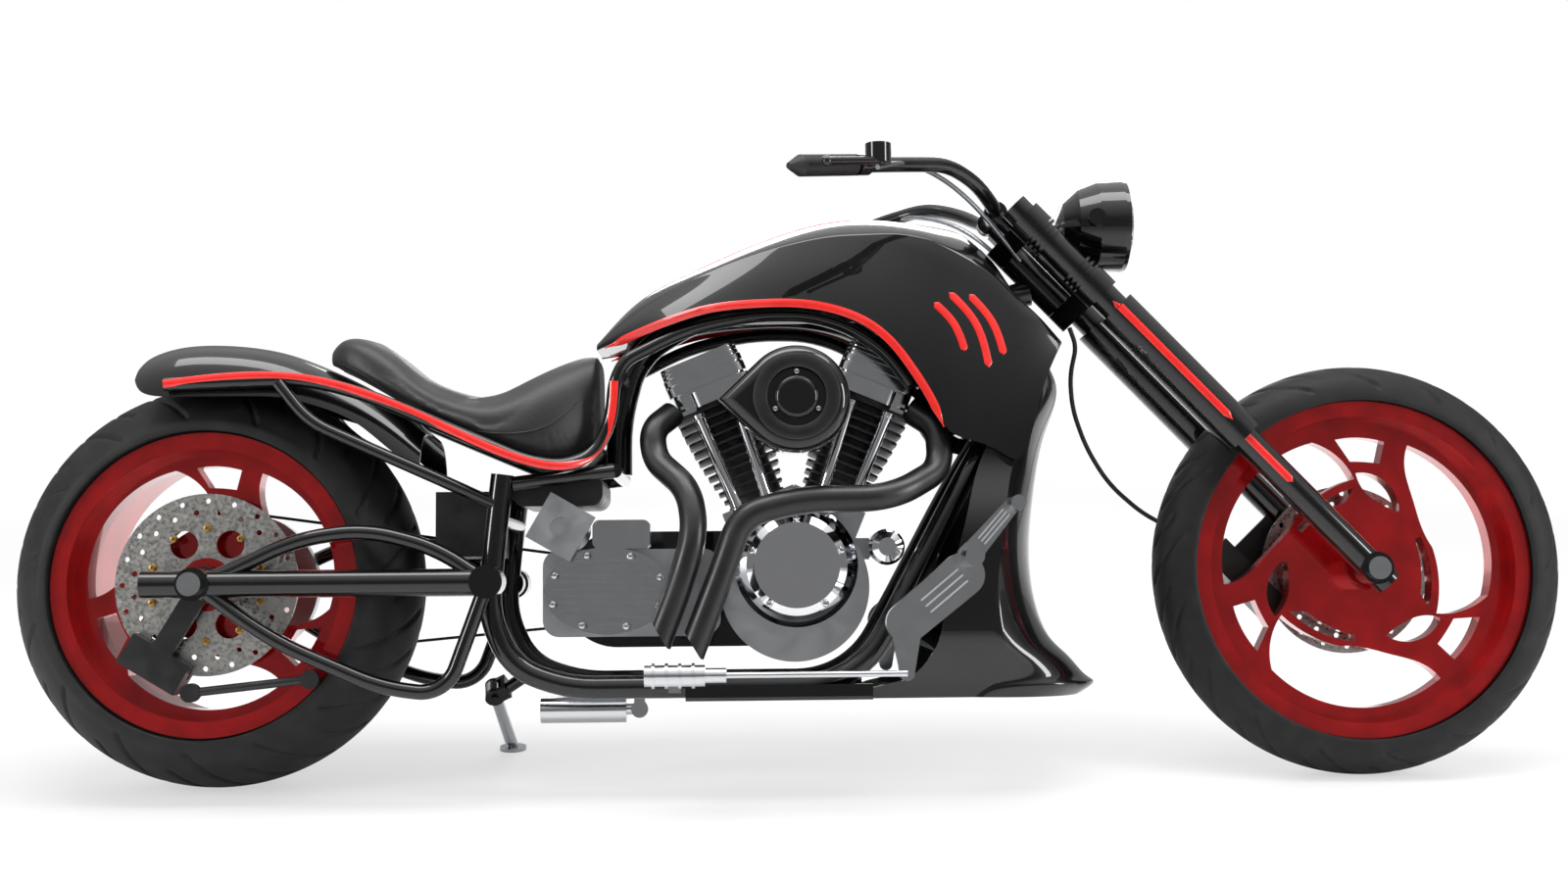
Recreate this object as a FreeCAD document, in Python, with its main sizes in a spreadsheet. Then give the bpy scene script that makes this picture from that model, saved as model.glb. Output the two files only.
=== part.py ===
import FreeCAD, Part
import math
import os
import Sketcher
from FreeCAD import Placement, Rotation, Vector

# Driving sizes in millimetres and degrees, one cell of the sheet for each
sizes = {
    # Stance
    "lean_angle": 10, "wheelbase": 1940, "rake_angle": 43.8, "seat_gap": 0.3, "fit_gap": 0.05,
    "overrun": 8, "body_shift_x": -5, "body_shift_y": -160,
    "lever_reach": 41, "lever_radius": 6.5, "move_gap": 5, "steering_lock": 25,
    # Front wheel
    "front_tyre_radius": 350.5, "front_tyre_width": 120, "front_shoulder_radius": 300,
    "front_bead_radius": 267, "front_lip_radius": 287, "front_rim_width": 100,
    "front_plate_wall": 34, "front_plate_offset": 0, "front_hub_radius": 36, "front_hub_reach": 60,
    "lip_wall": 6, "barrel_wall": 6, "front_axle_radius": 12.5, "axle_nut_radius": 19,
    "front_disc_radius": 146, "front_disc_inner": 104, "disc_wall": 5, "disc_hole_radius": 4.5,
    # Rear wheel
    "rear_tyre_radius": 340, "rear_tyre_width": 280, "rear_shoulder_radius": 265,
    "rear_bead_radius": 229, "rear_lip_radius": 250, "rear_rim_width": 254,
    "rear_plate_wall": 38, "rear_plate_offset": -62, "rear_hub_radius": 44, "rear_hub_reach": 112,
    "rear_axle_radius": 12.5, "rear_disc_radius": 150, "rear_disc_inner": 108,
    # Fork and steering
    "leg_spacing": 200, "steering_offset": 42, "stem_radius": 15, "neck_radius": 27,
    "lower_tree_height": 662, "upper_tree_height": 815, "tree_wall": 36, "clamp_radius": 32,
    "fork_leg_radius": 24, "fork_tube_radius": 25, "fork_cover_radius": 35,
    "cover_low": 308, "cover_high": 612, "fork_top": 857, "fork_foot": 34, "collar_wall": 5,
    "bar_radius": 12.7, "riser_radius": 15, "riser_spacing": 90,
    "bar_rise": 38.7, "bar_setback": 18.6, "bar_width": 800, "grip_radius": 17, "grip_length": 120,
    "lamp_radius": 79.5, "lamp_depth": 122, "lamp_x": 584, "lamp_z": 954, "lens_wall": 14,
    # Frame
    "rail_radius": 19, "rail_height": 168, "rail_spacing": 240, "backbone_height": 806.4,
    "backbone_radius": 22, "seat_rail_radius": 11, "seat_rail_spread": 163.5,
    "stay_radius": 10, "cross_radius": 12,
    "pivot_x": -501, "pivot_z": 342, "pivot_boss_radius": 27, "arm_radius": 22,
    "right_arm_offset": 172, "left_arm_offset": 200, "eye_half": 25, "arm_cross_x": -590,
    # Engine
    "crank_x": 0, "crank_z": 330, "crankcase_radius": 125, "crankcase_width": 160,
    "vee_half_angle": 22.5, "deck_height": 160, "barrel_top": 337, "head_top": 424,
    "barrel_radius": 47, "fin_width": 150, "fin_wall": 4.5, "fin_corner": 28, "head_width": 130,
    "cam_x": 2, "cam_z": 365, "cam_radius": 104, "cam_depth": 68, "cam_disc_radius": 46,
    "pushrod_radius": 9, "pushrod_offset": 100, "fin_taper": 0.34,
    "carb_radius": 27, "carb_z": 628, "carb_face": 150, "manifold_radius": 16,
    "cleaner_radius": 88, "cleaner_depth": 62, "cleaner_tail": 128, "cleaner_ring": 66, "cleaner_dome": 35,
    "pipe_radius": 22.2, "pipe_wall": 2, "tip_depth": 90,
    "filter_radius": 30, "filter_x": 152, "filter_z": 394, "filter_length": 105,
    # Gearbox and drive
    "gearbox_rear": -420, "gearbox_low": 250, "gearbox_high": 395, "gearbox_width": 180,
    "main_shaft_x": -311, "main_shaft_z": 326, "cover_long": 104, "cover_short": 72, "cover_depth": 40,
    "rib_wall": 4,
    "starter_radius": 36, "starter_x": -386, "starter_reach": 132, "starter_length": 170,
    "starter_flange": 84, "plate_wall": 10,
    "belt_inner": 148, "belt_width": 24, "belt_wall": 5, "front_pulley_radius": 50,
    "rear_pulley_radius": 125, "primary_radius": 104, "primary_depth": 48,
    # Boxes under the seat
    "battery_length": 100, "battery_width": 190, "battery_low": 385, "battery_height": 108,
    "oil_tank_rear": -470, "oil_tank_length": 150, "oil_tank_width": 190, "oil_tank_height": 52,
    # Bodywork
    "tank_rear_x": -332, "tank_length": 780, "tank_base_z": 537, "tank_cover": 127, "tank_width": 300,
    "tunnel_width": 176, "tunnel_room": 11.6, "skirt_room": 252, "skirt_height": 188,
    "seat_rear_x": -785, "seat_length": 456, "seat_base_z": 538, "seat_height": 222, "seat_width": 300,
    "pan_wall": 9,
    "fender_rear_x": -1086, "fender_length": 470, "fender_base_z": 520, "fender_height": 228,
    "fender_width": 304, "fender_wall": 4,
    "chin_low": 143, "chin_height": 568, "chin_width": 322, "chin_nose": 516, "chin_wall": 4,
    "tray_rear_x": -182, "tray_height": 26,
    # Controls, brakes and stand
    "control_x": 173, "control_z": 270, "control_reach": 74, "peg_length": 92, "peg_radius": 15,
    "control_arm": 12, "flute_radius": 2.2, "hub_boss_radius": 26,
    "master_radius": 17, "master_x": -244, "master_z": 190,
    "master_length": 96, "master_offset": 236, "rod_radius": 5,
    "caliper_wall": 30, "rear_caliper_length": 108, "front_caliper_length": 150,
    "torque_rod_radius": 9, "hose_radius": 4, "damper_radius": 22, "damper_z": 128,
    "stand_x": -531, "stand_y": 150, "stand_z": 150, "stand_foot_y": 236, "stand_foot_x": -508,
    "stand_leg_radius": 11, "stand_foot_radius": 24, "stand_foot_wall": 6, "stand_boss_radius": 17,
    "stand_boss_wall": 22, "stand_bolt_radius": 7,
}


class Term:
    """A length that carries its number and the expression which the document binds."""

    def __init__(self, value, text=None):
        self.value = float(value)
        self.text = text or "({!r})".format(float(value))

    def __add__(self, other):
        return join(self, "+", other, self.value + number(other))

    def __radd__(self, other):
        return join(other, "+", self, number(other) + self.value)

    def __sub__(self, other):
        return join(self, "-", other, self.value - number(other))

    def __rsub__(self, other):
        return join(other, "-", self, number(other) - self.value)

    def __mul__(self, other):
        return join(self, "*", other, self.value * number(other))

    __rmul__ = __mul__

    def __truediv__(self, other):
        return join(self, "/", other, self.value / number(other))

    def __neg__(self):
        return self * -1


def number(term):
    return term.value if isinstance(term, Term) else float(term)


def term(value):
    return value if isinstance(value, Term) else Term(value)


def join(left, sign, right, value):
    return Term(value, "({} {} {})".format(term(left).text, sign, term(right).text))


def root(value):
    return Term(math.sqrt(number(value)), "sqrt({})".format(term(value).text))


def sine(angle):
    return Term(math.sin(math.radians(number(angle))), "sin({})".format(term(angle).text))


def cosine(angle):
    return Term(math.cos(math.radians(number(angle))), "cos({})".format(term(angle).text))


# The document, its sheet and one term for each cell
doc = FreeCAD.newDocument("Motorcycle")
sheet = doc.addObject("Spreadsheet::Sheet", "Sizes")


class Cells:
    """Each driving size under its own name."""


s = Cells()
for row, (alias, value) in enumerate(sizes.items(), 1):
    sheet.set("A{}".format(row), alias.replace("_", " "))
    sheet.set("B{}".format(row), str(value))
    sheet.setAlias("B{}".format(row), alias)
    setattr(s, alias, Term(value, "Sizes." + alias))
doc.recompute()

sub_parts = []


# Small tools for placing and binding
def bind(target, prop, value):
    target.setExpression(prop, term(value).text)


def vector(x, y, z):
    return Vector(number(x), number(y), number(z))


def place(target, x, y, z, rotation=None):
    """Put an object at a bound place, turned by a fixed rotation."""
    target.Placement = Placement(vector(x, y, z), rotation or Rotation())
    bind(target, "Placement.Base.x", x)
    bind(target, "Placement.Base.y", y)
    bind(target, "Placement.Base.z", z)
    return target


def turned(degrees, axis=(0, 1, 0)):
    return Rotation(Vector(*axis), degrees)


across = Rotation(Vector(0, 0, 1), Vector(0, 1, 0))
along = Rotation(Vector(0, 0, 1), Vector(1, 0, 0))


def cylinder(name, radius, length, x, y, z, rotation=None):
    solid = doc.addObject("Part::Cylinder", name)
    bind(solid, "Radius", radius)
    bind(solid, "Height", length)
    return place(solid, x, y, z, rotation)


def disc_across(name, radius, x, z, near, far):
    """A round bar across the bike from one side position to another."""
    return cylinder(name, radius, far - near, x, near, z, across)


def rod(name, radius, start, end):
    """A round bar between two points given as terms."""
    steps = [b - a for a, b in zip(start, end)]
    length = root(steps[0] * steps[0] + steps[1] * steps[1] + steps[2] * steps[2])
    direction = vector(*steps)
    return cylinder(name, radius, length, *start, Rotation(Vector(0, 0, 1), direction))


def block(name, low, high):
    """A box between two opposite corners given as terms."""
    solid = doc.addObject("Part::Box", name)
    for prop, a, b in zip(("Length", "Width", "Height"), low, high):
        bind(solid, prop, b - a)
    return place(solid, *low)


def ball(name, radius, x, y, z):
    solid = doc.addObject("Part::Sphere", name)
    bind(solid, "Radius", radius)
    return place(solid, x, y, z)


def fuse(name, pieces):
    joined = doc.addObject("Part::MultiFuse", name)
    joined.Shapes = pieces
    joined.Refine = True
    return joined


def cut(name, base, tool):
    result = doc.addObject("Part::Cut", name)
    result.Base = base
    result.Tool = tool
    return result


def cut_all(name, base, tools):
    return cut(name, base, fuse(name + "Tools", tools) if len(tools) > 1 else tools[0])


def feature(name, shape):
    solid = doc.addObject("Part::Feature", name)
    solid.Shape = shape
    return solid


def new_body(name):
    return doc.addObject("PartDesign::Body", name)


def new_sketch(body, role, lift=None):
    plane = [item for item in body.Origin.OriginFeatures if item.Role == role][0]
    sketch = body.newObject("Sketcher::SketchObject", body.Name + "Sketch")
    sketch.AttachmentSupport = [(plane, "")]
    sketch.MapMode = "FlatFace"
    if lift is not None:
        bind(sketch, "AttachmentOffset.Base.z", lift)
    return sketch


def fix_point(sketch, geometry, point, a, b):
    for kind, value in (("DistanceX", a), ("DistanceY", b)):
        if value is None:
            continue
        index = sketch.addConstraint(Sketcher.Constraint(kind, -1, 1, geometry, point, number(value)))
        sketch.setExpression("Constraints[{}]".format(index), term(value).text)


def polygon(sketch, points):
    """A closed outline of straight edges, each corner bound to the sheet."""
    first = len(sketch.Geometry)
    count = len(points)
    for i, (a, b) in enumerate(points):
        c, d = points[(i + 1) % count]
        sketch.addGeometry(Part.LineSegment(vector(a, b, 0), vector(c, d, 0)))
    for i in range(count):
        following = first + (i + 1) % count
        sketch.addConstraint(Sketcher.Constraint("Coincident", first + i, 2, following, 1))
    for i, (a, b) in enumerate(points):
        fix_point(sketch, first + i, 1, a, b)


def circle(sketch, radius, a=0, b=0):
    index = sketch.addGeometry(Part.Circle(vector(a, b, 0), Vector(0, 0, 1), number(radius)))
    fix_point(sketch, index, 3, a, b)
    held = sketch.addConstraint(Sketcher.Constraint("Radius", index, number(radius)))
    sketch.setExpression("Constraints[{}]".format(held), term(radius).text)


def rounded(sketch, width, depth, corner, a=0, b=0):
    """A rectangle with round corners about a point."""
    side, end = width / 2 - corner, depth / 2 - corner
    centres = ((a + side, b + end, 0), (a - side, b + end, 90), (a - side, b - end, 180),
               (a + side, b - end, 270))
    r = number(corner)
    first = len(sketch.Geometry)
    for x, y, start in centres:
        arc = Part.ArcOfCircle(Part.Circle(vector(x, y, 0), Vector(0, 0, 1), r),
                               math.radians(start), math.radians(start + 90))
        sketch.addGeometry(arc)
    for i in range(4):
        begin = sketch.Geometry[first + i].EndPoint
        stop = sketch.Geometry[first + (i + 1) % 4].StartPoint
        sketch.addGeometry(Part.LineSegment(begin, stop))
    for i in range(4):
        line = first + 4 + i
        sketch.addConstraint(Sketcher.Constraint("Tangent", first + i, 2, line, 1))
        sketch.addConstraint(Sketcher.Constraint("Tangent", line, 2, first + (i + 1) % 4, 1))
    for i, (x, y, _) in enumerate(centres):
        fix_point(sketch, first + i, 3, x, y)
    held = sketch.addConstraint(Sketcher.Constraint("Radius", first, r))
    sketch.setExpression("Constraints[{}]".format(held), corner.text)


def pad(body, sketch, length, reverse=False, midplane=False):
    grown = body.newObject("PartDesign::Pad", body.Name + "Pad")
    grown.Profile = sketch
    bind(grown, "Length", length)
    grown.Reversed = reverse
    grown.Midplane = midplane
    return grown


def pocket(body, sketch, depth, midplane=True):
    sunk = body.newObject("PartDesign::Pocket", body.Name + "Pocket")
    sunk.Profile = sketch
    bind(sunk, "Length", depth)
    sunk.Midplane = midplane
    return sunk


def revolve(body, sketch):
    turned_solid = body.newObject("PartDesign::Revolution", body.Name + "Revolution")
    turned_solid.Profile = sketch
    turned_solid.ReferenceAxis = (sketch, ["H_Axis"])
    turned_solid.Angle = 360
    return turned_solid


def around(body, original, sketch, count):
    """A polar pattern about the normal of a sketch."""
    ring = body.newObject("PartDesign::PolarPattern", body.Name + "Ring")
    ring.Originals = [original]
    ring.Axis = (sketch, ["N_Axis"])
    ring.Angle = 360
    ring.Occurrences = count
    body.Tip = ring
    return ring


def soften(body, base, radius, wanted):
    """Fillet those edges of a feature whose middle point passes a test."""
    doc.recompute()
    names = []
    for i, edge in enumerate(base.Shape.Edges, 1):
        if wanted(edge.CenterOfMass, edge):
            names.append("Edge{}".format(i))
    rounding = body.newObject("PartDesign::Fillet", body.Name + "Fillet")
    rounding.Base = (base, names)
    bind(rounding, "Radius", radius)
    return rounding


def route(points, bends):
    """Straight runs joined by tangent arcs, one bend radius for each inner point."""
    edges = []
    last = points[0]
    for before, point, after, bend in zip(points, points[1:], points[2:], bends):
        inward = (point - before).normalize()
        outward = (after - point).normalize()
        turn = inward.getAngle(outward)
        reach = bend * math.tan(turn / 2)
        start, end = point - inward * reach, point + outward * reach
        middle = point + (outward - inward).normalize() * (bend / math.cos(turn / 2) - bend)
        edges.append(Part.LineSegment(last, start).toShape())
        edges.append(Part.Arc(start, middle, end).toShape())
        last = end
    edges.append(Part.LineSegment(last, points[-1]).toShape())
    return Part.Wire(edges)


def easy_bends(points, share=0.45):
    """The largest bends that the runs allow, as a share of the shorter run."""
    bends = []
    for before, point, after in zip(points, points[1:], points[2:]):
        turn = (point - before).getAngle(after - point)
        shorter = min((point - before).Length, (after - point).Length)
        bends.append(share * shorter / math.tan(turn / 2))
    return bends


def tube(name, points, radius, bends=None):
    """A round section swept along a route of runs and arcs."""
    path = feature(name + "Path", route(points, bends or easy_bends(points)))
    section = doc.addObject("Part::Circle", name + "Section")
    bind(section, "Radius", radius)
    section.Placement = Placement(points[0], Rotation(Vector(0, 0, 1), points[1] - points[0]))
    sweep = doc.addObject("Part::Sweep", name)
    sweep.Sections = [section]
    sweep.Spine = (path, ["Edge{}".format(i + 1) for i in range(len(path.Shape.Edges))])
    sweep.Solid = True
    return sweep


def places(origin, scale, table):
    """Points of a table of shares, measured from an origin in three named sizes."""
    return [Vector(*(number(o) + number(k) * share for o, k, share in zip(origin, scale, row)))
            for row in table]


def sided(points, side):
    return [Vector(p.x, p.y * side, p.z) for p in points]


def loft(sections, ruled=False):
    return Part.makeLoft(sections, True, ruled)


def spline(points):
    curve = Part.BSplineCurve()
    curve.interpolate(points)
    return curve.toShape()


def line(a, b):
    return Part.LineSegment(a, b).toShape()


# The stance of the bike and the frame of the fork
half_base = s.wheelbase / 2


def crown_radius(outer, shoulder, width):
    rise = outer - shoulder
    return (width * width / 4 + rise * rise) / (rise * 2)


front_crown = crown_radius(s.front_tyre_radius, s.front_shoulder_radius, s.front_tyre_width)
rear_crown = crown_radius(s.rear_tyre_radius, s.rear_shoulder_radius, s.rear_tyre_width)
lean_cosine = cosine(s.lean_angle)
front_axle_z = s.front_tyre_radius - front_crown + front_crown / lean_cosine
rear_axle_z = s.rear_tyre_radius - rear_crown + rear_crown / lean_cosine
lean_turn = Rotation(Vector(1, 0, 0), -number(s.lean_angle))
lean = Placement(vector(s.body_shift_x, s.body_shift_y, 0), lean_turn)
rake_sine = sine(s.rake_angle)
rake_cosine = cosine(s.rake_angle)
fork_turn = turned(-number(s.rake_angle))


def on_fork(height, ahead=0):
    """The place in the centre plane at a height along the fork and a distance ahead of it."""
    x = half_base - rake_sine * height + rake_cosine * ahead
    z = front_axle_z + rake_cosine * height + rake_sine * ahead
    return x, z


def settle(solid, local):
    """Carry a primitive that was placed in a local frame into the bike's frame."""
    for axis in "xyz":
        solid.setExpression("Placement.Base." + axis, None)
    solid.Placement = local.multiply(solid.Placement)
    return solid


def finish(target, label, local=None):
    """Name a sub-part and lean it over with the rest of the bike."""
    target.Label = label
    target.Placement = lean.multiply(local) if local else lean
    sub_parts.append(target)


def at(x, z, y=0, rotation=None):
    return Placement(vector(x, y, z), rotation or Rotation())


# Wheels
front_wheel_place = at(half_base, front_axle_z)
rear_wheel_place = at(-half_base, rear_axle_z)

# Windows of the cast wheels as angle in degrees and share of the lip radius
comma_window_shares = (
    ((66, 0.81), (27, 0.825), (-12, 0.80)),
    ((-12, 0.80), (-22, 0.68), (-30, 0.54)),
    ((-30, 0.54), (-8, 0.495), (15, 0.475)),
    ((15, 0.475), (33, 0.47), (50, 0.545), (62, 0.66), (66, 0.81)),
)
block_window_shares = (
    ((76, 0.785), (87, 0.79), (98, 0.785)),
    ((98, 0.785), (92, 0.645)),
    ((92, 0.645), (84, 0.645), (76, 0.65)),
    ((76, 0.65), (76, 0.785)),
)
crescent_window_shares = (
    ((52, 0.43), (62, 0.515), (75, 0.57), (89, 0.575)),
    ((89, 0.575), (84, 0.48), (72, 0.425)),
    ((72, 0.425), (62, 0.415), (52, 0.43)),
)
slender_window_shares = (
    ((26, 0.435), (-2, 0.445), (-29, 0.485)),
    ((-29, 0.485), (-22, 0.405)),
    ((-22, 0.405), (2, 0.385), (26, 0.395)),
    ((26, 0.395), (26, 0.435)),
)
wheel_window_shares = (comma_window_shares, block_window_shares, crescent_window_shares,
                       slender_window_shares)
sector_count = 3


def stroke(points):
    if len(points) == 2:
        return line(*points)
    if len(points) == 3:
        return Part.Arc(*points).toShape()
    return spline(points)


def tyre(name, label, radius, width, shoulder, bead, lip, rim_width, local):
    """A ring whose crown is one arc and whose feet sit inside the lips of the rim."""
    body = new_body(name)
    sketch = new_sketch(body, "YZ_Plane")
    foot = rim_width / 2 - s.lip_wall - s.seat_gap
    seat = bead + s.seat_gap
    edge = lip + s.seat_gap
    low, high = vector(-width / 2, shoulder, 0), vector(width / 2, shoulder, 0)
    corners = [(foot, edge), (foot, seat), (-foot, seat), (-foot, edge)]
    sketch.addGeometry(Part.Arc(high, vector(0, radius, 0), low))
    ring = [high] + [vector(a, b, 0) for a, b in corners] + [low]
    for a, b in zip(ring, ring[1:]):
        sketch.addGeometry(Part.LineSegment(a, b))
    last = len(ring) - 1
    sketch.addConstraint(Sketcher.Constraint("Coincident", 0, 1, 1, 1))
    for i in range(1, last):
        sketch.addConstraint(Sketcher.Constraint("Coincident", i, 2, i + 1, 1))
    sketch.addConstraint(Sketcher.Constraint("Coincident", last, 2, 0, 2))
    crown = crown_radius(radius, shoulder, width)
    fix_point(sketch, 0, 3, None, radius - crown)
    fix_point(sketch, 1, 1, width / 2, shoulder)
    for i, (a, b) in enumerate(corners):
        fix_point(sketch, i + 1, 2, a, b)
    fix_point(sketch, last, 2, -width / 2, shoulder)
    revolve(body, sketch)
    finish(body, label, local)


def rim(name, label, lip, bead, width, plate, offset, hub, reach, axle, local):
    """A barrel with two lips, a windowed plate and a bored hub."""
    body = new_body(name)
    sketch = new_sketch(body, "YZ_Plane")
    side = width / 2
    inner = bead - s.barrel_wall
    bore = axle + s.fit_gap
    half = plate / 2
    polygon(sketch, [
        (-side, lip), (s.lip_wall - side, lip), (s.lip_wall - side, bead), (side - s.lip_wall, bead),
        (side - s.lip_wall, lip), (side, lip), (side, inner), (offset + half, inner),
        (offset + half, hub), (reach, hub), (reach, bore), (-reach, bore), (-reach, hub),
        (offset - half, hub), (offset - half, inner), (-side, inner)])
    revolve(body, sketch)
    cutters = []
    near = number(offset - half - s.overrun)
    depth = number(plate + s.overrun * 2)
    for sector in range(sector_count):
        start = 360 / sector_count * sector
        for window in wheel_window_shares:
            edges = []
            for points in window:
                spots = []
                for angle, share in points:
                    way = math.radians(angle + start)
                    reach_out = number(lip) * share
                    spots.append(Vector(reach_out * math.cos(way), near, reach_out * math.sin(way)))
                edges.append(stroke(spots))
            face = Part.Face(Part.Wire(edges))
            cutters.append(face.extrude(Vector(0, depth, 0)))
    windows = feature(name + "Windows", Part.makeCompound(cutters))
    finish(cut(name + "Cut", body, windows), label, local)


def brake_disc(name, label, radius, inner, hub, offset, local):
    """A drilled ring on a carrier of six arms."""
    body = new_body(name)
    face = new_sketch(body, "XZ_Plane", -offset)
    circle(face, radius)
    circle(face, hub + s.fit_gap)
    pad(body, face, s.disc_wall, midplane=True)
    doc.recompute()
    hole_count, window_count = 20, 6
    rows = ((radius + inner) / 2 + s.disc_hole_radius * 2, (radius + inner) / 2 - s.disc_hole_radius * 2)
    for row, distance in enumerate(rows):
        holes = new_sketch(body, "XZ_Plane", -offset)
        shift = math.pi / hole_count * row
        circle(holes, s.disc_hole_radius, distance * math.cos(shift), distance * math.sin(shift))
        around(body, pocket(body, holes, s.disc_wall * 4), holes, hole_count)
        doc.recompute()
    slots = new_sketch(body, "XZ_Plane", -offset)
    circle(slots, (inner - hub) / 2 - s.disc_hole_radius * 2, (inner + hub) / 2)
    around(body, pocket(body, slots, s.disc_wall * 4), slots, window_count)
    finish(body, label, local)


def wheels():
    tyre("FrontTyre", "front_tyre", s.front_tyre_radius, s.front_tyre_width, s.front_shoulder_radius,
         s.front_bead_radius, s.front_lip_radius, s.front_rim_width, front_wheel_place)
    tyre("RearTyre", "rear_tyre", s.rear_tyre_radius, s.rear_tyre_width, s.rear_shoulder_radius,
         s.rear_bead_radius, s.rear_lip_radius, s.rear_rim_width, rear_wheel_place)
    rim("FrontRim", "front_rim", s.front_lip_radius, s.front_bead_radius, s.front_rim_width,
        s.front_plate_wall, s.front_plate_offset, s.front_hub_radius, s.front_hub_reach,
        s.front_axle_radius, front_wheel_place)
    rim("RearRim", "rear_rim", s.rear_lip_radius, s.rear_bead_radius, s.rear_rim_width,
        s.rear_plate_wall, s.rear_plate_offset, s.rear_hub_radius, s.rear_hub_reach,
        s.rear_axle_radius, rear_wheel_place)
    front_side = s.front_hub_reach - s.disc_wall
    brake_disc("FrontDisc", "front_disc", s.front_disc_radius, s.front_disc_inner, s.front_hub_radius,
               front_side, front_wheel_place)
    brake_disc("RearDisc", "rear_disc", s.rear_disc_radius, s.rear_disc_inner, s.rear_hub_radius,
               s.disc_wall - s.rear_hub_reach, rear_wheel_place)


def rear_pulley():
    """A flanged belt pulley with its hub on the left end of the rear hub."""
    body = new_body("RearPulley")
    sketch = new_sketch(body, "YZ_Plane")
    bore = s.rear_axle_radius + s.fit_gap
    near, far = s.belt_inner, s.belt_inner + s.belt_width
    r = s.rear_pulley_radius
    polygon(sketch, [
        (s.rear_hub_reach + s.fit_gap, bore), (far, bore), (far, s.rear_hub_radius),
        (far - s.belt_wall, s.rear_hub_radius), (far - s.belt_wall, r - s.plate_wall),
        (far, r - s.plate_wall), (far, r), (near, r), (near, r - s.plate_wall),
        (far - s.plate_wall - s.belt_wall, r - s.plate_wall),
        (far - s.plate_wall - s.belt_wall, s.rear_hub_radius),
        (s.rear_hub_reach + s.fit_gap, s.rear_hub_radius)])
    revolve(body, sketch)
    finish(body, "rear_pulley", rear_wheel_place)


# Front fork and steering, modelled upright in the fork's own frame
leg_side = s.leg_spacing / 2
fork_place = Placement(vector(half_base, 0, front_axle_z), fork_turn)
collar_count = 3


def fork_tubes():
    pieces = []
    for side in (-1, 1):
        y = leg_side * side
        pieces += [
            cylinder("ForkCover", s.fork_cover_radius, s.cover_high - s.cover_low, 0, y, s.cover_low),
            cylinder("ForkTube", s.fork_tube_radius, s.fork_top - s.cover_high, 0, y, s.cover_high),
        ]
        for yoke, way in ((s.lower_tree_height, 1), (s.upper_tree_height, -1)):
            for i in range(collar_count):
                low = yoke + (s.tree_wall / 2 + s.collar_wall * (2 * i + 1)) * way - s.collar_wall / 2
                pieces.append(cylinder("ForkCollar", s.clamp_radius, s.collar_wall, 0, y, low))
    finish(fuse("ForkTubes", pieces), "fork_tubes", fork_place)


def fork_lowers():
    pieces = []
    cuts = []
    for side in (-1, 1):
        y = leg_side * side
        pieces += [
            cylinder("ForkLeg", s.fork_leg_radius, s.cover_low + s.fork_foot - s.seat_gap, 0, y, -s.fork_foot),
            cylinder("ForkLug", s.fork_leg_radius * 1.12, s.fork_leg_radius * 2, 0,
                     y - s.fork_leg_radius, 0, across),
        ]
        cuts.append(cylinder("ForkBore", s.front_axle_radius + s.fit_gap, s.fork_leg_radius * 3, 0,
                             y - s.fork_leg_radius * 1.5, 0, across))
    finish(cut_all("ForkLowers", fuse("ForkLegs", pieces), cuts), "fork_lowers", fork_place)


def tree(name, height, with_stem):
    """A fork yoke: a tapered plate with two clamps and a boss, and the stem on the lower one."""
    low = height - s.tree_wall / 2
    back = -s.steering_offset
    side, far = s.neck_radius * 0.6, leg_side + s.clamp_radius * 0.3
    plate = new_body(name + "Plate")
    sketch = new_sketch(plate, "XY_Plane", low)
    rear, near = back - s.neck_radius * 0.8, -s.clamp_radius * 0.75
    front = s.clamp_radius * 0.7
    polygon(sketch, [(rear, -side), (near, -far), (front, -far), (front, far), (near, far), (rear, side)])
    pad(plate, sketch, s.tree_wall)
    pieces = [plate, cylinder(name + "Boss", s.neck_radius, s.tree_wall, back, 0, low)]
    cuts = []
    for way in (-1, 1):
        pieces.append(cylinder(name + "Clamp", s.clamp_radius, s.tree_wall, 0, leg_side * way, low))
        bore = s.fork_tube_radius + s.fit_gap
        cuts.append(cylinder(name + "Bore", bore, s.tree_wall * 2, 0, leg_side * way, low - s.tree_wall / 2))
    if with_stem:
        top = s.upper_tree_height - s.tree_wall / 2
        pieces.append(cylinder(name + "Stem", s.stem_radius, top - height, back, 0, height))
    return cut_all(name, fuse(name + "Body", pieces), cuts)


def fork_yokes():
    lower = tree("LowerTree", s.lower_tree_height, True)
    upper = tree("UpperTree", s.upper_tree_height, False)
    finish(fuse("ForkYokes", [lower, upper]), "fork_yokes", fork_place)


def front_axle():
    reach = leg_side + s.fork_leg_radius
    z = front_axle_z
    seat, end = reach + s.seat_gap, reach + s.plate_wall
    pieces = [
        disc_across("FrontAxleBar", s.front_axle_radius, half_base, z, -seat, seat),
        disc_across("FrontAxleHead", s.axle_nut_radius, half_base, z, -end, -seat),
        disc_across("FrontAxleNut", s.axle_nut_radius, half_base, z, seat, end),
    ]
    for side in (-1, 1):
        near = s.front_hub_reach + s.seat_gap
        far = leg_side - s.fork_leg_radius - s.seat_gap
        start = near if side > 0 else -far
        pieces.append(cylinder("FrontSpacer", s.axle_nut_radius, far - near, half_base, start, z, across))
    finish(fuse("FrontAxle", pieces), "front_axle")


# Handlebar as shares of its width, behind and above the clamp
bar_foot = s.upper_tree_height + s.tree_wall / 2 + s.seat_gap
bar_height = bar_foot + s.bar_rise
bar_shares = ((0, 0, 0), (0, 0.085, 0), (-0.055, 0.165, 0.045), (-0.12, 0.222, 0.070),
              (-0.215, 0.29, 0.055), (-0.434, 0.5, 0.004))


def bar_points():
    x, z = on_fork(bar_height, -s.bar_setback)
    return places((x, 0, z), (s.bar_width,) * 3, bar_shares)


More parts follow.
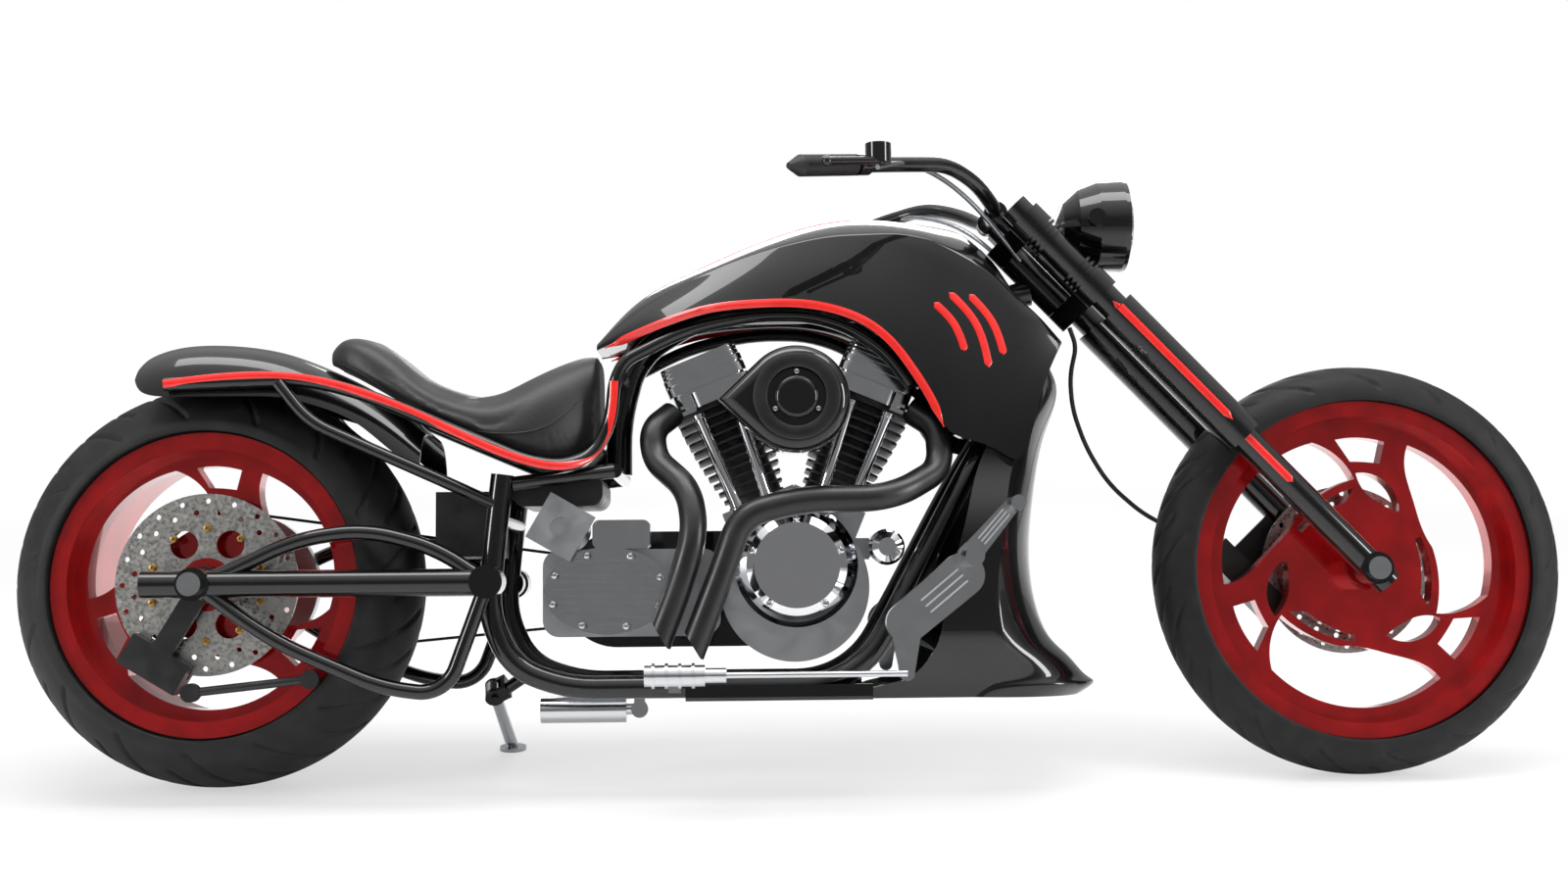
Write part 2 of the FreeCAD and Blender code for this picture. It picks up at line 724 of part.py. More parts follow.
def handlebar():
    """A swept bar in two clamps, each on a riser that stands on the upper yoke."""
    half = bar_points()
    points = sided(half[:0:-1], -1) + half[1:]
    pieces = [tube("Bar", points, s.bar_radius)]
    x, z = on_fork(bar_height, -s.bar_setback)
    for side in (-1, 1):
        y = s.riser_spacing / 2 * side
        riser = cylinder("Riser", s.riser_radius, s.bar_rise, -s.bar_setback, y, bar_foot)
        pieces.append(settle(riser, fork_place))
        pieces.append(cylinder("BarClamp", s.riser_radius + s.bar_radius * 0.4, s.riser_radius * 1.6,
                               x, y - s.riser_radius * 0.8, z, across))
    finish(fuse("Handlebar", pieces), "handlebar")


def grips():
    points = bar_points()
    inner, end = points[-2], points[-1]
    direction = (end - inner).normalize()
    pieces = []
    for side in (-1, 1):
        start, way = sided([end - direction * number(s.grip_length), direction], side)
        spin = Rotation(Vector(0, 0, 1), way)
        grip = doc.addObject("Part::Cylinder", "Grip")
        bind(grip, "Radius", s.grip_radius)
        bind(grip, "Height", s.grip_length)
        grip.Placement = Placement(start, spin)
        cap = doc.addObject("Part::Cone", "GripCap")
        bind(cap, "Radius1", s.grip_radius)
        bind(cap, "Radius2", s.grip_radius * 0.3)
        bind(cap, "Height", s.grip_radius * 1.5)
        cap.Placement = Placement(start + way * number(s.grip_length), spin)
        bore = doc.addObject("Part::Cylinder", "GripBore")
        bind(bore, "Radius", s.bar_radius + s.fit_gap)
        bind(bore, "Height", s.grip_length + s.seat_gap)
        bore.Placement = Placement(start, spin)
        pieces.append(cut("GripCut", fuse("GripSolid", [grip, cap]), bore))
    finish(fuse("Grips", pieces), "grips")


def hand_controls():
    """A master cylinder or clutch perch with its lever on each side."""
    points = bar_points()
    inner, end = points[-2], points[-1]
    direction = (end - inner).normalize()
    pieces, bores = [], []
    for side in (-1, 1):
        base = end - direction * (number(s.grip_length) + number(s.bar_radius) * 2.6)
        tip = end - direction * number(s.grip_radius)
        centre, way, far = sided([base, direction, tip], side)
        ring = doc.addObject("Part::Cylinder", "Perch")
        bind(ring, "Radius", s.grip_radius)
        bind(ring, "Height", s.bar_radius * 2)
        ring.Placement = Placement(centre, Rotation(Vector(0, 0, 1), way))
        bore = doc.addObject("Part::Cylinder", "PerchBore")
        bind(bore, "Radius", s.bar_radius + s.fit_gap)
        bind(bore, "Height", s.bar_radius * 4)
        bore.Placement = Placement(centre - way * number(s.bar_radius), Rotation(Vector(0, 0, 1), way))
        middle = centre + way * number(s.bar_radius)
        ahead = way.cross(Vector(0, 0, 1)).normalize() * number(s.lever_reach) * side
        knee, toe = middle + ahead, far + ahead
        arm = [
            rod("LeverRoot", s.lever_radius, middle + ahead * 0.4, knee),
            rod("Lever", s.lever_radius, knee, toe),
            ball("LeverKnee", s.lever_radius * 1.2, *knee),
            ball("LeverTip", s.lever_radius * 1.3, *toe),
        ]
        pot = cylinder("Reservoir", s.grip_radius * 1.2, s.grip_radius * 1.8, 0, 0, 0)
        settle(pot, Placement(middle + ahead * 0.9 + Vector(0, 0, -number(s.bar_radius) * 0.3), Rotation()))
        pieces += [ring, pot] + arm
        bores.append(bore)
    finish(cut_all("HandControls", fuse("Perches", pieces), bores), "hand_controls")


def headlight():
    """A bowl of revolution about the bike's length, with its bracket to the lower yoke."""
    shell_shares = ((0, 0.985), (-0.06, 1), (-0.42, 0.97), (-0.7, 0.8), (-0.9, 0.5), (-1, 0))
    hollow_shares = ((-0.55, 0.6), (-0.11, 0.9))
    r, d = s.lamp_radius, s.lamp_depth
    body = new_body("LampShell")
    sketch = new_sketch(body, "XY_Plane")
    rim_wall = s.lens_wall / 2
    outline = [(d * a, r * b) for a, b in shell_shares]
    inner = [(d * a, r * b) for a, b in hollow_shares]
    polygon(sketch, outline + [(d * -0.55, Term(0))] + inner + [(Term(0), r * 0.9)])
    revolve(body, sketch)
    place(body, s.lamp_x, 0, s.lamp_z)
    boss = disc_across("LampBoss", s.riser_radius, s.lamp_x - d * 0.5, s.lamp_z, -r - rim_wall, -r * 0.9)
    twin = disc_across("LampTwin", s.riser_radius, s.lamp_x - d * 0.5, s.lamp_z, r * 0.9, r + rim_wall)
    foot_x, foot_z = on_fork(s.lower_tree_height + s.tree_wall / 2 + s.seat_gap + s.bar_radius, 0)
    foot = cylinder("LampFoot", s.bar_radius, s.plate_wall, s.bar_radius * 1.2, 0,
                    s.lower_tree_height + s.tree_wall / 2 + s.seat_gap)
    settle(foot, fork_place)
    arm = rod("LampArm", s.bar_radius * 0.8, (foot_x + s.bar_radius, Term(0), foot_z + s.bar_radius),
              (s.lamp_x - d * 0.62, Term(0), s.lamp_z - r * 0.8))
    finish(fuse("Headlight", [body, boss, twin, foot, arm]), "headlight")


def headlight_lens():
    """A shallow dome set in the mouth of the shell."""
    lens_shares = ((0.12, 0), (0.11, 0.3), (0.075, 0.6), (0.02, 0.86), (-0.005, 0.895), (-0.06, 0.895),
                   (-0.06, 0))
    body = new_body("Lens")
    sketch = new_sketch(body, "XY_Plane")
    points = [(s.lamp_depth * a, s.lamp_radius * b) for a, b in lens_shares]
    points[0] = (points[0][0], Term(0))
    points[-1] = (points[-1][0], Term(0))
    polygon(sketch, points)
    revolve(body, sketch)
    finish(body, "headlight_lens", at(s.lamp_x, s.lamp_z))


def front_caliper():
    """A two half caliper over the rear edge of the disc, with its bracket to the left leg."""
    wall = s.caliper_wall
    disc_y = s.front_hub_reach - s.disc_wall
    gap = s.disc_wall / 2 + s.disc_hole_radius / 2
    low, high = s.cover_low * 0.12, s.cover_low * 0.12 + s.front_caliper_length
    far = s.front_disc_radius + wall * 0.5
    near = s.front_disc_radius - wall * 1.1
    y_low, y_high = disc_y - wall * 0.55, leg_side - s.fork_leg_radius * 0.2
    shell = block("CaliperShell", (-far, y_low, low), (-near, y_high, high))
    slot = disc_across("CaliperSlot", s.front_disc_radius + wall * 0.2, Term(0), Term(0), disc_y - gap,
                       disc_y + gap)
    arm = block("CaliperArm", (-near, leg_side - s.fork_leg_radius * 0.5, low + wall * 0.4),
                (Term(0), leg_side - s.fork_leg_radius * 0.2, high - wall))
    leg = cylinder("CaliperLegRoom", s.fork_leg_radius + s.seat_gap, s.cover_low * 2, 0, leg_side, -s.cover_low)
    body = fuse("FrontCaliperBody", [shell, arm])
    finish(cut_all("FrontCaliper", body, [slot, leg]), "front_caliper", fork_place)


# Brake hose as shares of the fork's height and spacing, from the lower yoke to the caliper
hose_shares = ((-0.078, 0.10, 0.968), (-0.097, 0.15, 0.92), (-0.160, 0.22, 0.876), (-0.213, 0.30, 0.808),
               (-0.256, 0.375, 0.709), (-0.280, 0.425, 0.594), (-0.269, 0.44, 0.468), (-0.234, 0.40, 0.370),
               (-0.209, 0.36, 0.289))


def front_brake_hose():
    scale = (s.lower_tree_height, s.leg_spacing, s.lower_tree_height)
    points = places((0, 0, 0), scale, hose_shares)
    hose = tube("FrontHose", points, s.hose_radius)
    finish(hose, "front_brake_hose", fork_place)
    print("bends of the front brake hose", ["{:.0f}".format(bend) for bend in easy_bends(points)])


# Frame: each side is one tube from the neck round the engine to the seat post
cradle_shares = ((0.2160, 0.18, 2.16), (0.1470, 0.80, 1.512), (0.1035, 0.90, 1.042), (0.052, 1, 0.5),
                 (-0.1930, 1, 0.5), (-0.2400, 1, 0.60), (-0.2610, 1, 0.86), (-0.2560, 1, 1.2),
                 (-0.2490, 1.02, 1.545))
backbone_shares = ((0.214, 0, 1.0375), (0.155, 0, 1.006), (-0.075, 0, 1), (-0.138, 0, 0.908),
                   (-0.1535, 0, 0.7625), (-0.1535, 0, 0.65))
seat_rail_shares = ((-0.530, 1, 0.829), (-0.412, 1, 0.838), (-0.361, 1, 0.806), (-0.287, 0.994, 0.729),
                    (-0.227, 0.996, 0.668), (-0.198, 0.935, 0.657), (-0.1710, 0.745, 0.684),
                    (-0.1570, 0.728, 0.750), (-0.1535, 0.728, 0.835), (-0.1450, 0.728, 0.878),
                    (-0.0900, 0.728, 0.945), (-0.0300, 0.728, 0.971), (0.0150, 0.728, 0.969),
                    (0.0480, 0.728, 0.945), (0.0800, 0.728, 0.893), (0.1010, 0.728, 0.825))
stay_shares = ((-0.4340, 1.07, 1.99), (-0.4080, 1.07, 1.80), (-0.308, 1.07, 1.54), (-0.256, 0.80, 1.40))


def frame_main():
    scale = (s.wheelbase, s.rail_spacing / 2, s.rail_height * 2)
    stay_scale = (s.wheelbase, s.fender_width / 2 + s.stay_radius + s.seat_gap, s.rail_height * 2)
    neck_low = s.lower_tree_height + s.tree_wall / 2 + s.seat_gap
    neck_high = s.upper_tree_height - s.tree_wall / 2 - s.seat_gap
    neck = cylinder("Neck", s.neck_radius, neck_high - neck_low, -s.steering_offset, 0, neck_low)
    bore = cylinder("NeckBore", s.stem_radius + s.fit_gap, neck_high - neck_low + s.overrun * 2,
                    -s.steering_offset, 0, neck_low - s.overrun)
    for solid in (neck, bore):
        settle(solid, fork_place)
    pieces = [neck]
    upper_scale = (s.wheelbase, s.seat_rail_spread, s.backbone_height)
    pieces.append(tube("Backbone", places((0, 0, 0), upper_scale, backbone_shares), s.backbone_radius))
    rail_side = s.rail_spacing / 2
    tie_side = s.seat_rail_spread * seat_rail_shares[8][1]
    pieces.append(disc_across("RailTie", s.seat_rail_radius, s.wheelbase * -0.1480, s.backbone_height * 0.845,
                              -tie_side, tie_side))
    cross_x, cross_z = s.wheelbase * -0.1535, s.rail_height * 2 * 1.56
    pieces.append(disc_across("SeatCross", s.cross_radius, cross_x, cross_z, -rail_side, rail_side))
    post_x = s.wheelbase * -0.25
    low_z = s.rail_height
    post_z = s.pivot_z + s.rail_height * 0.6
    pieces.append(disc_across("PostCross", s.cross_radius, post_x, post_z, -rail_side, rail_side))
    pieces.append(disc_across("RearCross", s.cross_radius, s.wheelbase * -0.135, low_z, -rail_side, rail_side))
    pieces.append(disc_across("FrontCross", s.cross_radius, s.wheelbase * 0.04, low_z, -rail_side, rail_side))
    for side in (-1, 1):
        points = sided(places((0, 0, 0), scale, cradle_shares), side)
        pieces.append(tube("Cradle", points, s.rail_radius))
        rail = sided(places((0, 0, 0), upper_scale, seat_rail_shares), side)
        pieces.append(tube("SeatTube", rail, s.seat_rail_radius))
        pieces.append(rod("SeatRail", s.cross_radius, (cross_x, rail_side * side, cross_z),
                          (post_x + s.rail_radius, rail_side * side, s.rail_height * 2 * 1.5)))
        pieces.append(tube("Stay", sided(places((0, 0, 0), stay_scale, stay_shares), side), s.stay_radius))
        arm = s.left_arm_offset if side > 0 else s.right_arm_offset
        face = arm - s.eye_half - s.seat_gap
        start = rail_side if side > 0 else -face
        pieces.append(cylinder("PivotLug", s.pivot_boss_radius * 0.9, face - rail_side, s.pivot_x, start,
                               s.pivot_z, across))
    pieces.append(stand_bracket())
    finish(cut("FrameMain", fuse("FrameTubes", pieces), bore), "frame_main")


# Swingarm outlines as shares of its length back from the pivot and of its depth
upper_arm_shares = ((0, 0), (0.18, 0.26), (0.42, 0.40), (0.66, 0.33), (0.88, 0.10), (1, 0))
lower_arm_shares = ((0, 0), (0.14, -0.84), (0.36, -0.78), (0.74, -0.42), (1, 0))


def swingarm():
    length = half_base + s.pivot_x
    pieces = []
    cuts = []
    depth = s.pivot_boss_radius * 8
    for side, offset in ((-1, s.right_arm_offset), (1, s.left_arm_offset)):
        y = offset * side
        rear_x = -half_base
        origin = (s.pivot_x, y, s.pivot_z)
        near, far = y - s.eye_half, y + s.eye_half
        pieces.append(rod("Arm", s.arm_radius, origin, (rear_x - s.pivot_boss_radius * 3.2, y, rear_axle_z)))
        pieces.append(disc_across("ArmBoss", s.pivot_boss_radius, s.pivot_x, s.pivot_z, near, far))
        pieces.append(disc_across("ArmEye", s.pivot_boss_radius, rear_x, rear_axle_z, near, far))
        for name, table in (("UpperArm", upper_arm_shares), ("LowerArm", lower_arm_shares)):
            rows = [(-a, 0, b) for a, b in table]
            pieces.append(tube(name, places(origin, (length, 0, depth), rows), s.stay_radius * 1.25))
        cuts.append(disc_across("ArmBore", s.rear_axle_radius + s.fit_gap, rear_x, rear_axle_z,
                                y - s.arm_radius * 2, y + s.arm_radius * 2))
    pieces.append(disc_across("ArmCross", s.arm_radius * 0.85, s.arm_cross_x, s.pivot_z, -s.right_arm_offset,
                              s.left_arm_offset))
    finish(cut_all("Swingarm", fuse("SwingarmBody", pieces), cuts), "swingarm")


def rear_axle():
    right = s.right_arm_offset + s.eye_half
    left = s.left_arm_offset + s.eye_half
    x, z = -half_base, rear_axle_z
    hub = s.rear_hub_reach + s.seat_gap
    drive = s.belt_inner + s.belt_width + s.seat_gap
    right_eye, left_eye = s.eye_half - s.right_arm_offset + s.seat_gap, s.left_arm_offset - s.eye_half - s.seat_gap
    pieces = [
        disc_across("RearAxleBar", s.rear_axle_radius, x, z, -right - s.seat_gap, left + s.seat_gap),
        disc_across("RearAxleHead", s.axle_nut_radius, x, z, -right - s.plate_wall * 1.6, -right - s.seat_gap),
        disc_across("RearAxleNut", s.axle_nut_radius, x, z, left + s.seat_gap, left + s.plate_wall * 1.6),
        disc_across("RearSpacerRight", s.axle_nut_radius, x, z, right_eye, -hub),
        disc_across("RearSpacerLeft", s.axle_nut_radius, x, z, drive, left_eye),
    ]
    finish(fuse("RearAxle", pieces), "rear_axle")


# Engine
vee_turns = {"rear": -1, "front": 1}


def vee_place(side):
    return at(s.crank_x, s.crank_z, 0, turned(number(s.vee_half_angle) * side))


def crankcase():
    """A round case with a deck for each cylinder."""
    half = s.crankcase_width / 2
    pieces = [disc_across("Case", s.crankcase_radius, s.crank_x, s.crank_z, -half, half)]
    for side in (-1, 1):
        deck = doc.addObject("Part::Box", "Deck")
        bind(deck, "Length", s.fin_width * 0.86)
        bind(deck, "Width", s.crankcase_width * 0.9)
        bind(deck, "Height", s.deck_height - s.seat_gap)
        local = Placement(vector(-s.fin_width * 0.43, -s.crankcase_width * 0.45, 0), Rotation())
        deck.Placement = vee_place(side).multiply(local)
        pieces.append(deck)
    reach = s.belt_inner + s.belt_width + s.seat_gap * 10
    pieces.append(disc_across("CrankBoss", s.crankcase_radius * 0.5, s.crank_x, s.crank_z, half, reach))
    foot = s.filter_radius * 0.6
    low = (s.crank_x + s.crankcase_radius * 0.7, s.seat_gap - s.filter_length * 0.3, s.filter_z - foot)
    high = (s.filter_x + foot, s.filter_length * 0.2, s.filter_z + foot)
    pieces.append(block("FilterBoss", low, high))
    finish(fuse("Crankcase", pieces), "crankcase")


fin_count = 12
fin_curve = 1.6
fin_corner_share = 0.75


def cylinder_barrel(which):
    """A barrel with a stack of square fins that narrows downward, trimmed where the two stacks meet."""
    side = vee_turns[which]
    name = "Cylinder" + which.title()
    body = new_body(name)
    core = new_sketch(body, "XY_Plane", s.deck_height)
    circle(core, s.barrel_radius)
    stack = s.barrel_top - s.deck_height
    pad(body, core, stack - s.seat_gap)
    doc.recompute()
    for i in range(fin_count):
        share = i / (fin_count - 1)
        fin = new_sketch(body, "XY_Plane", s.deck_height + (stack - s.fin_wall - s.seat_gap) * share)
        width = s.fin_width * (1 - s.fin_taper * (1 - share) ** fin_curve)
        rounded(fin, width, width, s.fin_corner * fin_corner_share)
        pad(body, fin, s.fin_wall)
        doc.recompute()
    far = s.fin_width * 2
    trim = block(name + "Trim", (Term(0), -far, Term(0)), (far, far, s.barrel_top * 2))
    trim.setExpression("Placement.Base.x", None)
    trim.setExpression("Placement.Base.z", None)
    trim.Placement = Placement(vector(0, -far, 0), turned(-number(s.vee_half_angle) * side))
    if side > 0:
        trim.Placement = trim.Placement.multiply(Placement(vector(-far, 0, 0), Rotation()))
    room = Placement(vector(s.seat_gap * side, 0, 0), Rotation())
    trim.Placement = trim.Placement.multiply(room)
    trim.setExpression("Placement.Base.y", None)
    barrel = cut(name + "Cut", body, trim)
    barrel.Placement = vee_place(side)
    return barrel


# Tiers of a head and its rocker box: bottom and top as shares of the rise, width as a share of the box
head_tier_shares = ((0.00, 0.08, 1.15), (0.08, 0.13, 1), (0.13, 0.19, 1.13), (0.19, 0.42, 1),
                    (0.42, 0.60, 1.08), (0.60, 0.64, 1.03), (0.64, 0.76, 1.08), (0.76, 0.79, 1.01), (0.79, 0.85, 1.05),
                    (0.85, 0.875, 1.01), (0.875, 0.93, 1.05), (0.93, 0.955, 1), (0.955, 1, 1.04))


def cylinder_head(which):
    """A finned head under a rocker box of ribbed tiers, with lugs for the pushrod tubes."""
    side = vee_turns[which]
    name = "Head" + which.title()
    body = new_body(name)
    low = s.barrel_top
    rise = s.head_top - s.barrel_top
    for bottom, top, width_share in head_tier_shares:
        tier = new_sketch(body, "XY_Plane", low + rise * bottom)
        width = s.head_width * width_share
        rounded(tier, width, width, s.fin_corner * 0.6)
        pad(body, tier, rise * (top - bottom))
        doc.recompute()
    lug = new_sketch(body, "XY_Plane", low)
    rounded(lug, s.head_width * 0.8, s.head_width, s.fin_corner * 0.5, s.head_width * -0.12 * side,
            s.head_width * -0.44)
    pad(body, lug, rise * 0.3)
    body.Placement = vee_place(side)
    return body


# Pushrod tube ends beside the crank, as shares of the head height
tube_shares = (((-0.215, 0.300), (-0.375, 0.680)), ((-0.105, 0.345), (-0.228, 0.735)),
               ((0.105, 0.345), (0.228, 0.735)), ((0.215, 0.300), (0.375, 0.680)))


def pushrod_tubes():
    pieces = []
    for low, high in tube_shares:
        ends = [(s.crank_x + s.head_top * a, -s.pushrod_offset, s.crank_z + s.head_top * b)
                for a, b in (low, high)]
        pieces.append(rod("Pushrod", s.pushrod_radius, *ends))
    finish(fuse("PushrodTubes", pieces), "pushrod_tubes")


def cam_cover():
    """A stepped round cover turned about the cam line, with a sunk disc in its face."""
    r, d = s.cam_radius, s.cam_depth
    profile_shares = ((0, 1), (0.42, 0.985), (0.55, 0.9), (0.86, 0.80), (1, 0.68))
    body = new_body("CamCover")
    sketch = new_sketch(body, "YZ_Plane")
    points = [(-(d * a), r * b) for a, b in profile_shares]
    points[0] = (Term(0), r)
    sunk = d * 0.94
    points += [(-d, s.cam_disc_radius), (-sunk, s.cam_disc_radius), (-sunk, Term(0)), (Term(0), Term(0))]
    polygon(sketch, points)
    revolve(body, sketch)
    finish(body, "cam_cover", at(s.cam_x, s.cam_z, -s.crankcase_width / 2 - s.seat_gap))


def carburettor():
    x, z = s.crank_x, s.carb_z
    pieces = [
        disc_across("CarbBody", s.carb_radius, x, z, s.plate_wall - s.carb_face, s.carb_radius),
        disc_across("CarbPlate", s.cleaner_radius * 0.7, x, z, -s.carb_face, s.plate_wall - s.carb_face),
    ]
    meet = s.carb_radius * 0.8
    reach = (z + meet - s.crank_z) * sine(s.vee_half_angle) - s.fin_width / 2 - s.seat_gap
    for side in (-1, 1):
        turn = turned((90 + number(s.vee_half_angle)) * side)
        pieces.append(cylinder("Manifold", s.manifold_radius, reach, x, 0, z + meet, turn))
    finish(fuse("Carburettor", pieces), "carburettor")


def air_cleaner():
    """A drop shaped cover whose round body runs to a point behind, with a ring and a dome."""
    body = new_body("AirCleaner")
    r, tail = number(s.cleaner_radius), number(s.cleaner_tail)
    back = -s.carb_face - s.seat_gap
    sketch = new_sketch(body, "XZ_Plane", -back)
    half = math.acos(r / tail)
    touch = [Vector(-r * math.cos(half), r * math.sin(half) * side, 0) for side in (1, -1)]
    tip = Vector(-tail, 0, 0)
    sketch.addGeometry(Part.Arc(touch[1], Vector(r, 0, 0), touch[0]))
    sketch.addGeometry(Part.LineSegment(touch[0], tip))
    sketch.addGeometry(Part.LineSegment(tip, touch[1]))
    fix_point(sketch, 0, 3, Term(0), Term(0))
    held = sketch.addConstraint(Sketcher.Constraint("Radius", 0, r))
    sketch.setExpression("Constraints[{}]".format(held), s.cleaner_radius.text)
    sketch.addConstraint(Sketcher.Constraint("Tangent", 0, 2, 1, 1))
    sketch.addConstraint(Sketcher.Constraint("Coincident", 1, 2, 2, 1))
    sketch.addConstraint(Sketcher.Constraint("Tangent", 2, 2, 0, 1))
    fix_point(sketch, 1, 2, -s.cleaner_tail, Term(0))
    base = pad(body, sketch, s.cleaner_depth)
    front = number(back - s.cleaner_depth)
    soften(body, base, s.cleaner_depth * 0.35, lambda middle, edge: abs(middle.y - front) < 0.01)
    doc.recompute()
    ring = new_sketch(body, "XZ_Plane", s.carb_face + s.seat_gap + s.cleaner_depth)
    circle(ring, s.cleaner_ring * 0.94)
    pad(body, ring, s.plate_wall)
    doc.recompute()
    dome = new_sketch(body, "XZ_Plane", s.carb_face + s.seat_gap + s.cleaner_depth + s.plate_wall)
    circle(dome, s.cleaner_dome)
    lift = pad(body, dome, s.plate_wall * 1.2)
    face = number(back - s.cleaner_depth - s.plate_wall * 2.2)
    soften(body, lift, s.plate_wall * 0.8, lambda middle, edge: abs(middle.y - face) < 0.01)
    finish(body, "air_cleaner", at(s.crank_x + s.cam_x, s.carb_z + s.seat_gap * 20))


# Exhaust routes as shares of the head height, from the port down to the tip
rear_pipe_shares = ((-0.482, -0.16, 0.690), (-0.560, -0.235, 0.620), (-0.545, -0.275, 0.500),
                    (-0.410, -0.40, 0.375), (-0.385, -0.475, 0.210), (-0.440, -0.475, 0.020),
                    (-0.530, -0.475, -0.215))
front_pipe_shares = ((0.482, -0.16, 0.690), (0.572, -0.225, 0.620), (0.575, -0.275, 0.455),
                     (0.370, -0.425, 0.335), (0.020, -0.475, 0.330), (-0.210, -0.475, 0.270),
                     (-0.275, -0.475, 0.080), (-0.405, -0.475, -0.255))


def exhaust(which, table):
    name = "Exhaust" + which.title()
    scale = (s.head_top,) * 3
    points = places((s.crank_x, 0, s.crank_z), scale, table)
    pipe = tube(name + "Pipe", points, s.pipe_radius)
    tip, before = points[-1], points[-2]
    way = (tip - before).normalize()
    bore = doc.addObject("Part::Cylinder", name + "Bore")
    bind(bore, "Radius", s.pipe_radius - s.pipe_wall)
    bind(bore, "Height", s.tip_depth)
    start = tip - way * (number(s.tip_depth) - number(s.overrun))
    bore.Placement = Placement(start, Rotation(Vector(0, 0, 1), way))
    slash = doc.addObject("Part::Box", name + "Slash")
    for prop in ("Length", "Width", "Height"):
        bind(slash, prop, s.pipe_radius * 8)
    half = number(s.pipe_radius) * 4
    slash.Placement = Placement(tip, Rotation(Vector(0, 0, 1), way)).multiply(
        Placement(Vector(), turned(38))).multiply(Placement(Vector(-half, -half, -half * 0.12), Rotation()))
    return cut_all(name, pipe, [bore, slash])


def oil_filter():
    body = new_body("OilFilter")
    sketch = new_sketch(body, "YZ_Plane")
    r, length = s.filter_radius, s.filter_length
    polygon(sketch, [(Term(0), Term(0)), (Term(0), r * 0.94), (length * 0.06, r), (length * 0.82, r),
                     (length * 0.95, r * 0.84), (length, r * 0.5), (length, Term(0))])
    revolve(body, sketch)
    local = at(s.filter_x, s.filter_z, -s.filter_length * 0.3, turned(180, (0, 0, 1)))
    finish(body, "oil_filter", local)


# Gearbox, starter and drive
def gearbox():
    half = s.gearbox_width / 2
    front = s.crank_x - s.crankcase_radius - s.seat_gap
    body = new_body("Gearbox")
    sketch = new_sketch(body, "XZ_Plane", -half)
    centre_x, centre_z = (s.gearbox_rear + front) / 2, (s.gearbox_low + s.gearbox_high) / 2
    rounded(sketch, front - s.gearbox_rear, s.gearbox_high - s.gearbox_low, s.fin_corner, centre_x, centre_z)
    pad(body, sketch, s.gearbox_width)
    shaft = disc_across("MainShaft", s.master_radius, s.main_shaft_x, s.main_shaft_z, half, s.belt_inner - s.seat_gap)
    near = s.belt_inner
    drum = disc_across("PulleyDrum", s.front_pulley_radius, s.main_shaft_x, s.main_shaft_z, near - s.seat_gap * 2,
                       near + s.belt_width)
    finish(fuse("GearboxBody", [body, shaft, drum]), "gearbox")


rib_count = 10


def gearbox_cover():
    """An oval cover with a ribbed face, under a small box with round corners."""
    half = s.gearbox_width / 2 + s.seat_gap
    pieces = []
    step_share = 0.86
    for share, near, far in ((1, 0, 0.62), (step_share, 0.62, 0.8), (0.62, 0.8, 1)):
        long_axis, short_axis = number(s.cover_long) * share, number(s.cover_short) * share
        start = number(half + s.cover_depth * near)
        centre = vector(s.main_shaft_x, -start, s.main_shaft_z)
        oval = Part.Ellipse(centre + Vector(long_axis, 0, 0), centre + Vector(0, 0, short_axis), centre)
        face = Part.Face(Part.Wire(oval.toShape()))
        pieces.append(feature("OvalStep", face.extrude(Vector(0, -number(s.cover_depth) * (far - near), 0))))
    for i in range(rib_count):
        share = ((i + 0.5) / rib_count * 2 - 1) * 0.92
        height = s.cover_short * step_share * share
        reach = s.cover_long * step_share * math.sqrt(1 - share * share)
        low = (s.main_shaft_x - reach, -half - s.cover_depth - s.rib_wall, s.main_shaft_z + height - s.rib_wall / 2)
        high = (s.main_shaft_x + reach, -half - s.cover_depth * 0.6, s.main_shaft_z + height + s.rib_wall / 2)
        pieces.append(block("CoverRib", low, high))
    box_half = s.cover_long * 0.46
    box_x = s.main_shaft_x + s.cover_long * 0.22
    body = new_body("CoverBox")
    sketch = new_sketch(body, "XZ_Plane", half - s.cover_depth)
    rounded(sketch, box_half * 2, s.cover_depth * 1.2, s.rib_wall * 3, box_x,
            s.gearbox_high + s.seat_gap + s.cover_depth * 0.6)
    pad(body, sketch, s.cover_depth * 1.5)
    finish(fuse("GearboxCover", pieces + [body]), "gearbox_cover")


def starter_motor():
    z = s.gearbox_high + s.starter_radius + s.seat_gap
    motor = disc_across("StarterCan", s.starter_radius, s.starter_x, z, -s.starter_reach,
                        s.starter_length - s.starter_reach)
    flange = doc.addObject("Part::Box", "StarterFlange")
    bind(flange, "Length", s.starter_flange)
    bind(flange, "Width", s.plate_wall)
    bind(flange, "Height", s.starter_flange)
    half = number(s.starter_flange) / 2
    flange.Placement = at(s.starter_x, z, -s.starter_reach - s.plate_wall, turned(30)).multiply(
        Placement(Vector(-half, 0, -half), Rotation()))
    below = block("StarterRoom", (s.gearbox_rear - s.overrun, -s.gearbox_width / 2 - s.seat_gap, s.gearbox_low),
                  (s.crank_x, s.gearbox_width, s.gearbox_high + s.seat_gap))
    hole = disc_across("StarterHole", s.starter_radius * 0.5, s.starter_x, z, -s.starter_reach - s.plate_wall * 2,
                       -s.starter_reach - s.plate_wall * 0.4)
    finish(cut_all("Starter", fuse("StarterBody", [motor, flange]), [hole, below]), "starter_motor")


